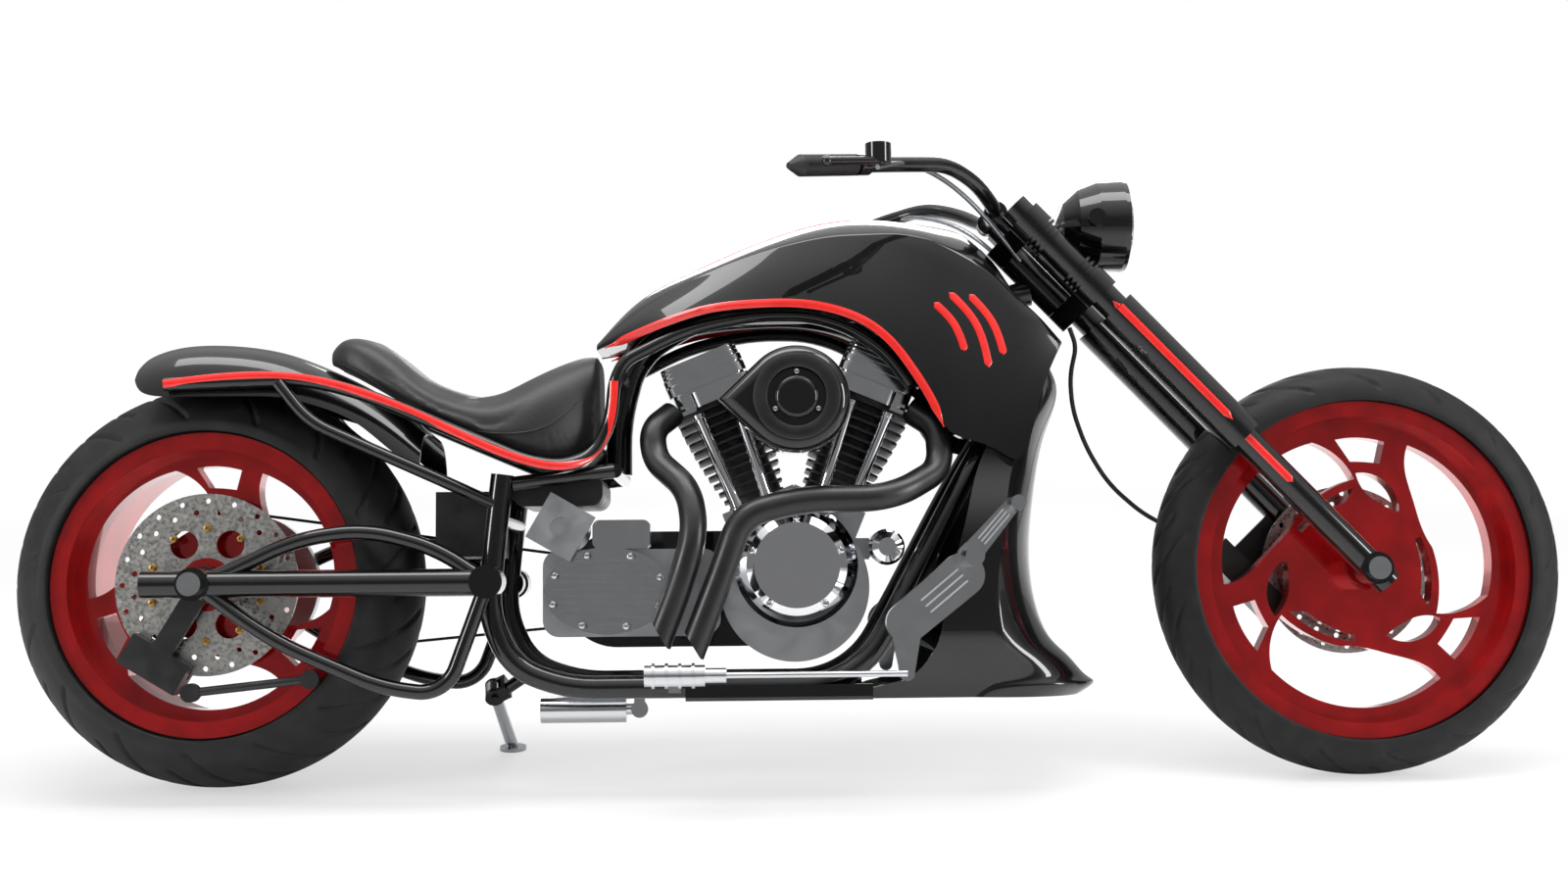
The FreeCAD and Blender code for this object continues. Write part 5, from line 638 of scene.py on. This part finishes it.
def fenderPiece():
    # sections of one arch, each cut off at the height of the fender's lower edge, and the bent sheet
    # under the seat
    f = fenderShape
    rows = smoothPath(np.array(f["stations"]) * (f["length"], f["height"], f["height"]), 120)
    arch = smoothPath(f["arch"], 60) * (f["half"], f["height"])
    arch = np.concatenate([arch, [(f["half"], f["height"] * 1.2)]])
    reach = rows[:, 1] - rows[:, 2]
    run = np.concatenate([[0], np.cumsum(np.hypot(*np.diff(arch, axis=0).T))])
    last = np.interp(reach, arch[:, 1], run)
    stepAt = last[:, None] * np.linspace(1, 0, 30)[None]
    y, drop = np.interp(stepAt, run, arch[:, 0]), np.interp(stepAt, run, arch[:, 1])
    high, low = rows[:, 1] + f["low"], rows[:, 2] + f["low"]
    outer = np.stack([y, high[:, None] - drop], -1)
    innerZ = np.maximum(high[:, None] - f["wall"] - drop, low[:, None])
    inner = np.stack([y * (1 - f["wall"] / f["half"]), innerZ], -1)
    loop = np.concatenate([bothSides(outer), bothSides(inner)[:, ::-1]], 1)
    x = np.broadcast_to((f["rear"] + rows[:, 0])[:, None], loop.shape[:2])
    fender = np.stack([x, loop[..., 0], loop[..., 1]], -1)
    s = seatShape
    rows = smoothPath(np.array(s["stations"][3:]) * (s["length"], s["height"], s["height"], s["half"]), 40)
    level = s["low"] + rows[:, 2]
    half = rows[:, 3]
    corners = np.array([(1, 0), (-1, 0), (-1, -1), (1, -1)])
    x = np.broadcast_to((s["rear"] + rows[:, 0])[:, None], (40, 4))
    pan = np.stack([x, half[:, None] * corners[None, :, 0], level[:, None] + s["panWall"] * corners[None, :, 1]],
                   -1)
    return joined("fenderShell", [(fender, shellFaces(*fender.shape[:2])), (pan, shellFaces(40, 4))], black,
                  "chassis")


def chinPiece():
    # level sections: straight sides, then an arc through the nose; the shell is 4 mm thick and open behind,
    # with a shallow tray under the engine
    c = chinShape
    rows = smoothPath(np.array(c["stations"]) * (c["height"], c["nose"], c["nose"], c["half"]), 130)

    def section(inset):
        front, rear, half = rows[:, 1] - inset, rows[:, 2], rows[:, 3] - inset
        bend = (rows[:, 1] + rows[:, 2]) / 2
        depth = front - bend
        radius = (depth ** 2 + half ** 2) / (2 * depth)
        middle = front - radius
        limit = np.arctan2(half, bend - middle)
        turn = limit[:, None] * np.linspace(1, 0, 30)[None]
        x = middle[:, None] + radius[:, None] * np.cos(turn)
        y = radius[:, None] * np.sin(turn)
        straight = np.linspace(0, 1, 9)[None, :-1]
        x = np.concatenate([rear[:, None] + (bend - rear)[:, None] * straight, x], 1)
        y = np.concatenate([np.broadcast_to(half[:, None], (len(rows), 8)), y], 1)
        return bothSides(np.stack([y, x], -1))

    loop = np.concatenate([section(0.0), section(c["wall"])[:, ::-1]], 1)
    z = np.broadcast_to((c["low"] + rows[:, 0])[:, None], loop.shape[:2])
    shell = np.stack([loop[..., 1], loop[..., 0], z], -1)
    tray = c["tray"]
    wall, half = c["wall"], tray["half"]
    profile = [(half, tray["high"]), (half, tray["low"] + 0.006), (half - 0.006, tray["low"]),
               (-half + 0.006, tray["low"]), (-half, tray["low"] + 0.006), (-half, tray["high"]),
               (-half + wall, tray["high"]), (-half + wall, tray["low"] + wall), (half - wall, tray["low"] + wall),
               (half - wall, tray["high"])]
    ends = np.array([tray["rear"], tray["front"]])
    profile = np.broadcast_to(np.array(profile)[None], (2, 10, 2))
    box = np.concatenate([np.broadcast_to(ends[:, None, None], (2, 10, 1)), profile], -1)
    return joined("chinShell", [(shell, shellFaces(*shell.shape[:2])), (box, shellFaces(2, 10))], black,
                  "chassis")


print("bodywork")
tankSkin, fenderSkin, chinSkin = tankPiece(), fenderPiece(), chinPiece()
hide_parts("tank")
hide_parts("rear_fender")
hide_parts("chin_fairing")


# Seat

cushion = {"fill": 0.8, "shrink": 0.004, "voxel": 0.005, "pressure": 4.0, "cap": 0.006, "frames": 20}


def seatPiece():
    # sections of the saddle: a flat base, full sides and a dished top, drawn in at both ends
    s = seatShape
    rows = smoothPath(np.array(s["stations"]) * (s["length"], s["height"], s["height"], s["half"]), 60)
    along, high, low, half = rows.T
    along = np.clip(along, cushion["shrink"], s["length"] - cushion["shrink"])
    high = high + s["low"] - cushion["shrink"] * 0.5
    low = low + s["low"] + 0.0006
    half = half - cushion["shrink"]
    # half section as shares of the half width and the rise, from the base to the middle of the top
    arch = smoothPath([(0, 0), (.5, 0), (.90, .02), (.99, .16), (1, .38), (.95, .66), (.83, .84), (.62, .945),
                       (.30, .985), (0, .97)], 34)
    y = half[:, None] * arch[None, :, 0]
    z = low[:, None] + (high - low)[:, None] * arch[None, :, 1]
    loop = np.stack([y, z], -1)
    mirrored = loop[:, -2:0:-1] * np.array([-1.0, 1.0])
    loop = np.concatenate([loop, mirrored], 1)
    x = np.broadcast_to((s["rear"] + along)[:, None], loop.shape[:2])
    points = np.stack([x, loop[..., 0], loop[..., 1]], -1)
    piece = joined("seatCushion", [(points, shellFaces(*points.shape[:2]))], leather, "chassis")
    return piece


def puffed(piece):
    # the cover blown up a little over its foam: even cells, a few steps of cloth, then a limit on how far
    # any point moves, and one smoothing
    scene = bpy.context.scene
    remesh = piece.modifiers.new("cells", "REMESH")
    remesh.mode, remesh.voxel_size, remesh.use_smooth_shade = "VOXEL", cushion["voxel"], True
    bpy.context.view_layer.update()
    tool = bpy.context.evaluated_depsgraph_get()
    even = bpy.data.meshes.new_from_object(piece.evaluated_get(tool))
    piece.modifiers.clear()
    piece.data = even
    count = len(even.vertices)
    before = np.empty(count * 3)
    even.vertices.foreach_get("co", before)
    before = before.reshape(-1, 3)
    upright = toBike(before)
    s = seatShape
    base = s["low"] + np.interp(upright[:, 0] - s["rear"], [r[0] * s["length"] for r in s["stations"]],
                                [r[2] * s["height"] for r in s["stations"]])
    hold = piece.vertex_groups.new(name="hold")
    fixed = np.nonzero(upright[:, 2] < base + 0.010)[0]
    hold.add(fixed.tolist(), 1.0, "REPLACE")
    cloth = piece.modifiers.new("cover", "CLOTH")
    cloth.settings.use_pressure = True
    cloth.settings.uniform_pressure_force = cushion["pressure"]
    cloth.settings.effector_weights.gravity = 0.0
    cloth.settings.vertex_group_mass = "hold"
    cloth.settings.quality = 5
    cloth.settings.tension_stiffness = 22
    cloth.settings.compression_stiffness = 22
    cloth.settings.bending_stiffness = 3
    for step in range(1, cushion["frames"] + 1):
        scene.frame_set(step)
    tool = bpy.context.evaluated_depsgraph_get()
    blown = piece.evaluated_get(tool).to_mesh()
    after = np.empty(count * 3)
    blown.vertices.foreach_get("co", after)
    move = after.reshape(-1, 3) - before
    far = np.linalg.norm(move, axis=1, keepdims=True)
    move *= np.minimum(1, cushion["cap"] / np.maximum(far, 1e-9))
    piece.modifiers.clear()
    even.vertices.foreach_set("co", (before + move).ravel())
    even.update()
    scene.frame_set(1)
    finer = piece.modifiers.new("finer", "SUBSURF")
    finer.levels = finer.render_levels = 1


print("seat")
seatCover = seatPiece()
puffed(seatCover)
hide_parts("seat")


# Painted lines

lines = {
    # places (x, z) in metres on the side of the bike
    "arch": [(-0.317, 0.734), (-0.229, 0.765), (-0.146, 0.789), (-0.063, 0.798), (0.020, 0.797), (0.075, 0.786),
             (0.125, 0.764), (0.164, 0.731), (0.197, 0.687), (0.230, 0.631), (0.247, 0.590)],
    # the lines along the top of the tank: from and to in x, place round the dome in degrees, half width
    "spine": {"from": -0.246, "to": 0.102, "round": 62, "half": 0.004},
    # the seat rail's centre line: x, distance to the side, z
    "rail": [(-1.028, .1635, .6685), (-.799, .1635, .676), (-.700, .1635, .650), (-.557, .1625, .588),
             (-.440, .163, .539), (-.384, .153, .530), (-.332, .122, .552), (-.305, .119, .605), (-.298, .119, .673)],
}


def spineBand(side, word):
    # a band along the dome at one share of its curve: z = crease + b sin(a)^(2/n), y = a cos(a)^(2/n)
    t, spine = tankShape, lines["spine"]
    rows = smoothPath(t["stations"], 200)
    x = np.linspace(spine["from"], spine["to"], 90)
    share = (x - t["rear"]) / t["length"]
    top, crease, out = (np.interp(share, rows[:, 0], rows[:, k]) for k in (1, 2, 4))

    def onDome(angle):
        a = math.radians(angle)
        y = side * t["half"] * out * math.cos(a) ** (2 / 1.37)
        z = t["low"] + t["height"] * (crease + (top - crease) * math.sin(a) ** (2 / 1.37))
        return np.stack([x, y, z], -1)

    path = onDome(spine["round"])
    across = onDome(spine["round"] + 1) - onDome(spine["round"] - 1)
    up = np.cross(np.gradient(path, axis=0), across) * side
    up *= np.sign(up[:, 2:])
    turn = np.linspace(0, 2 * np.pi, 12, endpoint=False)
    taper = np.clip(np.arange(90) / 40, 0.12, 1)[:, None]
    section = np.stack([np.cos(turn) * spine["half"], np.sin(turn) * 0.0012], -1)
    rings = sweep(path, section, up)
    rings = path[:, None] + (rings - path[:, None]) * taper[..., None]
    piece = meshPiece("spineLine" + word, rings.reshape(-1, 3), shellFaces(90, 12), stripeRed, "chassis")
    recalc(piece)


def railBand(side, word):
    # a band painted on the outer face of the seat rail: an arc of the tube, 1 mm proud
    path = smoothPath(lines["rail"], 200)
    turn = np.radians(np.linspace(-34, 34, 7))
    outer = np.stack([np.sin(turn), np.cos(turn)], -1) * 0.0119
    inner = outer[::-1] * (0.0106 / 0.0119)
    rings = sweep(path, np.concatenate([outer, inner]))
    rings[..., 1] *= side
    faces = shellFaces(200, 14)
    piece = meshPiece("railLine" + word, rings.reshape(-1, 3), faces, stripeRed, "chassis")
    recalc(piece)


print("painted lines")
for side, word in ((-1, "Right"), (1, "Left")):
    bandPiece("archLine" + word, tankSkin, lines["arch"], 0.014, side, "chassis")
    spineBand(side, word)
    railBand(side, word)


# Small pieces on the solids

def solidsOf(nodeName):
    # the points of each separate solid of a node, in the upright bike's frame: triangles that share a
    # point take the lowest label among their corners until nothing changes
    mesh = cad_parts[nodeName].data
    corners = np.empty(len(mesh.vertices) * 3)
    mesh.vertices.foreach_get("co", corners)
    corners = corners.reshape(-1, 3)
    mesh.calc_loop_triangles()
    index = np.empty(len(mesh.loop_triangles) * 3, np.int64)
    mesh.loop_triangles.foreach_get("vertices", index)
    welded, back = np.unique(np.round(corners, 5), axis=0, return_inverse=True)
    tri = back.reshape(-1)[index.reshape(-1, 3)]
    label = np.arange(len(welded))
    while True:
        lowest = label[tri].min(1)
        new = label.copy()
        np.minimum.at(new, tri.ravel(), np.repeat(lowest, 3))
        new = new[new]
        if (new == label).all():
            break
        label = new
    upright = toBike(welded)
    return [upright[label == one] for one in np.unique(label[tri])]


def lineOf(points):
    # the long axis of a solid and its two ends on that axis
    middle = (points.max(0) + points.min(0)) / 2
    _, _, axes = np.linalg.svd(points - points.mean(0), full_matrices=False)
    axis = axes[0]
    along = (points - middle) @ axis
    return axis, middle + axis * along.min(), middle + axis * along.max()


fasteners = {"boltRadius": 0.0058, "boltHeight": 0.0045, "collarRadius": 0.0115, "collarLength": 0.016}


def bolts(name, spots, axis, material, body, radius=None):
    # domed heads: a flat hex would be too fine to show
    r = radius or fasteners["boltRadius"]
    h = fasteners["boltHeight"] * r / fasteners["boltRadius"]
    profile = [(0, -0.001), (r, -0.001), (r, h * 0.55), (r * 0.8, h * 0.9), (r * 0.45, h), (r * 0.4, h * 0.6),
               (0, h * 0.6)]
    return turnPiece(name, spots, axis, profile, material, body, 16)


def circleSpots(centre, radius, count, first=0.0, y=0.0):
    turn = np.radians(first) + np.linspace(0, 2 * np.pi, count, endpoint=False)
    x, z = centre[0] + radius * np.cos(turn), centre[1] + radius * np.sin(turn)
    return np.stack([x, np.full(count, y), z], -1)


def engineTrim():
    # chrome collars and seals at both ends of the pushrod tubes
    for number, tube in enumerate(solidsOf("pushrod_tubes"), 1):
        axis, low, high = lineOf(tube)
        if low[2] > high[2]:
            axis, low, high = -axis, high, low
        r, length = fasteners["collarRadius"], fasteners["collarLength"]
        collar = [(0, 0), (r, 0), (r, length * 0.4), (r * 0.86, length * 0.5), (r * 0.86, length), (0, length)]
        turnPiece("pushrodFoot{}".format(number), low, axis, collar, chrome, "chassis", 24)
        turnPiece("pushrodCap{}".format(number), high, -axis, collar, chrome, "chassis", 24)
    # the air cleaner's satin ring and its three screws
    box = np.concatenate(solidsOf("air_cleaner"))
    face = box[:, 1].min()
    centre = (0.002, 0.634)
    ring = [(0.050, 0.0), (0.068, 0.0), (0.070, 0.0016), (0.068, 0.0026), (0.050, 0.0026), (0.048, 0.0016)]
    hoopPiece("airCleanerRing", (centre[0], face, centre[1]), (0, -1, 0), ring, satin, "chassis")
    spots = circleSpots(centre, 0.040, 3, 90, face)
    bolts("airCleanerScrews", spots, (0, -1, 0), aluminium, "chassis", 0.0046)
    # the cam cover's screws and the gearbox cover's bolts
    face = np.concatenate(solidsOf("cam_cover"))[:, 1].min()
    spots = circleSpots((0.002, 0.365), 0.078, 5, 90, face)
    bolts("camCoverScrews", spots, (0, -1, 0), chrome, "chassis")
    cover = np.concatenate(solidsOf("gearbox_cover"))
    face = cover[:, 1].min()
    turn = np.linspace(0, 2 * np.pi, 8, endpoint=False) + 0.35
    spots = np.stack([-0.311 + 0.094 * np.cos(turn), np.full(8, face), 0.326 + 0.062 * np.sin(turn)], -1)
    bolts("gearboxCoverBolts", spots, (0, -1, 0), chrome, "chassis")


def wheelTrim():
    # rivets of the floating discs
    for which, side in (("front", 1), ("rear", -1)):
        cx, cy, cz = wheels[which]["centre"]
        disc = np.concatenate(solidsOf(which + "_disc"))
        outer = disc[:, 1].min()
        radius = np.hypot(disc[:, 0] - cx, disc[:, 2] - cz).max()
        spots = circleSpots((cx, cz), radius * 0.62, 10, 18, outer)
        bolts(which + "DiscRivets", spots, (0, -1, 0), bronze, which + "_wheel", 0.0065)


print("small pieces")
engineTrim()
wheelTrim()


def seatSeam():
    # the welt along the side of the seat, laid on the cover's skin
    seam = [(-0.772, 0.716), (-0.720, 0.690), (-0.660, 0.648), (-0.600, 0.614), (-0.540, 0.593), (-0.470, 0.585),
            (-0.410, 0.598), (-0.360, 0.640)]
    for side, word in ((-1, "Right"), (1, "Left")):
        bandPiece("seatWelt" + word, seatCover, seam, 0.0035, side, "chassis", leather, 0.0022, 120)


seatSeam()


forkBands = {"width": 0.013, "Upper": {"node": "fork_tubes", "top": 0.625, "end": 0.345},
             "Lower": {"node": "fork_lowers", "top": 0.345, "end": 0.20}}


def forkLines():
    # a band down the outer face of each fork cover, on the line of the leg
    for side, word in ((-1, "Right"), (1, "Left")):
        for part in ("Upper", "Lower"):
            band = forkBands[part]
            run = onFork(np.linspace(band["top"], band["end"], 8))
            bandPiece("forkLine" + part + word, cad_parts[band["node"]], run[:, [0, 2]].tolist(),
                      forkBands["width"], side, "steering")


forkLines()


def tankBlades():
    # a plain motif of three swept blades on the side of the tank, longest in the middle
    blades = [[(0.236, 0.800), (0.268, 0.765), (0.286, 0.718)], [(0.262, 0.818), (0.304, 0.768), (0.326, 0.690)],
              [(0.296, 0.815), (0.334, 0.768), (0.352, 0.712)]]
    for number, blade in enumerate(blades, 1):
        for side, word in ((-1, "Right"), (1, "Left")):
            bandPiece("tankBlade{}{}".format(number, word), tankSkin, blade, 0.013, side, "chassis")


tankBlades()


def barCables():
    # two braided lines in a loose bow from each control to the upper fork, on the steering body
    bows = {
        "brakeLine": [(0.130, -0.330, 0.985), (0.190, -0.230, 1.012), (0.260, -0.150, 1.000), (0.330, -0.085, 0.955),
                      (0.395, -0.050, 0.885)],
        "clutchLine": [(0.130, 0.330, 0.985), (0.190, 0.230, 1.012), (0.260, 0.150, 1.000), (0.330, 0.085, 0.955),
                       (0.395, 0.050, 0.885)],
    }
    for name, bow in bows.items():
        tubePiece(name, smoothPath(bow, 60), 0.0042, braid, "steering", 10)


barCables()


# Camera, light and floor

print("stage")
camera = {"position": (-0.0868, -3.2124, 0.3084), "yaw": -1.298, "pitch": 4.862, "roll": 0.576, "focal": 1904.2}
studio = {"floorFadeFrom": 1.3, "floorFadeTo": 4.5, "floorWhite": 0.55, "ceilingFrom": 0.35, "ceilingTo": 0.85,
          "roomDark": 0.2, "backdrop": 0.3, "softLevel": 0.55}


def setCamera():
    # the place and turn that fit the photograph's own view of the upright bike, leaned with it
    yaw, pitch, roll = (math.radians(camera[k]) for k in ("yaw", "pitch", "roll"))
    turn = Matrix.Rotation(yaw, 3, "Z") @ Matrix.Rotation(pitch, 3, "X") @ Matrix.Rotation(roll, 3, "Y")
    right, ahead, up = (turn.col[i].copy() for i in range(3))
    lean = Matrix.Rotation(-math.radians(stance["leanDegrees"]), 3, "X")
    right, ahead, up = lean @ right, lean @ ahead, lean @ up
    data = bpy.data.cameras.new("photoCamera")
    data.sensor_width = 36.0
    data.lens = 36.0 * camera["focal"] / 1600
    data.clip_end = 100
    eye = bpy.data.objects.new("photoCamera", data)
    bpy.context.scene.collection.objects.link(eye)
    spot = toFloor([camera["position"]])[0]
    basis = Matrix((right, up, -ahead)).transposed()
    eye.matrix_world = Matrix.Translation(Vector(spot)) @ basis.to_4x4()
    bpy.context.scene.camera = eye


def softBox(name, place, aim, width, height, power):
    light = bpy.data.lights.new(name, "AREA")
    light.shape = "RECTANGLE"
    light.size, light.size_y, light.energy = width, height, power
    holder = bpy.data.objects.new(name, light)
    bpy.context.scene.collection.objects.link(holder)
    holder.location = place
    holder.rotation_euler = (Vector(aim) - Vector(place)).to_track_quat("-Z", "Y").to_euler()


def setStage():
    # a pale floor that fades to white for the camera, and a studio that mirrors see as a dark room
    # with a bright ceiling and a bright backdrop
    floorMesh = bpy.data.meshes.new("paleFloor")
    floorMesh.from_pydata([(-30, -30, 0), (30, -30, 0), (30, 30, 0), (-30, 30, 0)], [], [(0, 1, 2, 3)])
    floor = bpy.data.objects.new("paleFloor", floorMesh)
    bpy.context.scene.collection.objects.link(floor)
    material, tree, shader = surface("paintedConcrete", "#f6f6f6", 0.0, 0.6)
    # painted concrete: almost white, with faint broad stains
    spot = add(tree, "TexCoord").outputs["Object"]
    stain = add(tree, "TexNoise", {"Scale": 1.2, "Detail": 6.0}, Vector=spot)
    tree.links.new(mixColour(tree, ranged(tree, stain.outputs["Fac"], 0.35, 0.7), "#efefef", "#fdfdfd"),
                   shader.inputs["Base Color"])
    reach = add(tree, "VectorMath", {"operation": "LENGTH"}, i0=spot)
    rays = add(tree, "LightPath")
    far = ranged(tree, reach.outputs["Value"], studio["floorFadeFrom"], studio["floorFadeTo"],
                 studio["floorWhite"], 1.0)
    seen = add(tree, "Math", {"operation": "MULTIPLY"}, i0=far, i1=rays.outputs["Is Camera Ray"])
    glow = add(tree, "Emission", {"Color": (1, 1, 1, 1), "Strength": 1.0})
    blend = add(tree, "MixShader")
    tree.links.new(seen.outputs[0], blend.inputs[0])
    tree.links.new(shader.outputs[0], blend.inputs[1])
    tree.links.new(glow.outputs[0], blend.inputs[2])
    tree.links.new(blend.outputs[0], tree.nodes["Material Output"].inputs["Surface"])
    floorMesh.materials.append(material)
    world = bpy.data.worlds.new("studio")
    world.use_nodes = True
    bpy.context.scene.world = world
    tree = world.node_tree
    shade = tree.nodes["Background"]
    rays = add(tree, "LightPath")
    way = add(tree, "SeparateXYZ", None, Vector=add(tree, "TexCoord").outputs["Generated"])
    ceiling = ranged(tree, way.outputs["Z"], studio["ceilingFrom"], studio["ceilingTo"], studio["roomDark"],
                     1.15)
    backdrop = ranged(tree, way.outputs["Y"], 0.05, 0.5, studio["roomDark"], studio["backdrop"])
    mirror = add(tree, "Math", {"operation": "MAXIMUM"}, i0=ceiling, i1=backdrop).outputs[0]
    seen = add(tree, "Math", {"operation": "MAXIMUM"}, i0=rays.outputs["Is Camera Ray"],
               i1=rays.outputs["Is Transmission Ray"]).outputs[0]
    level = add(tree, "Mix", {"data_type": "FLOAT", "A": studio["softLevel"]},
                Factor=rays.outputs["Is Glossy Ray"])
    tree.links.new(mirror, level.inputs["B"])
    final = add(tree, "Mix", {"data_type": "FLOAT", "B": 1.0}, Factor=seen)
    tree.links.new(level.outputs["Result"], final.inputs["A"])
    shade.inputs["Color"].default_value = (1, 1, 1, 1)
    tree.links.new(final.outputs["Result"], shade.inputs["Strength"])
    softBox("overhead", (0.0, -0.4, 3.4), (0.0, 0.0, 0.4), 4.4, 1.2, 95)
    softBox("leftSide", (-4.2, -2.4, 1.7), (-0.4, 0.0, 0.5), 0.9, 2.2, 90)
    softBox("rightSide", (4.4, -2.2, 1.7), (0.4, 0.0, 0.5), 0.9, 2.2, 90)
    softBox("farSide", (0.4, 3.4, 2.0), (0.0, 0.0, 0.4), 2.6, 1.4, 45)


setCamera()
setStage()
bpy.context.scene.view_settings.view_transform = "Standard"

print("done")
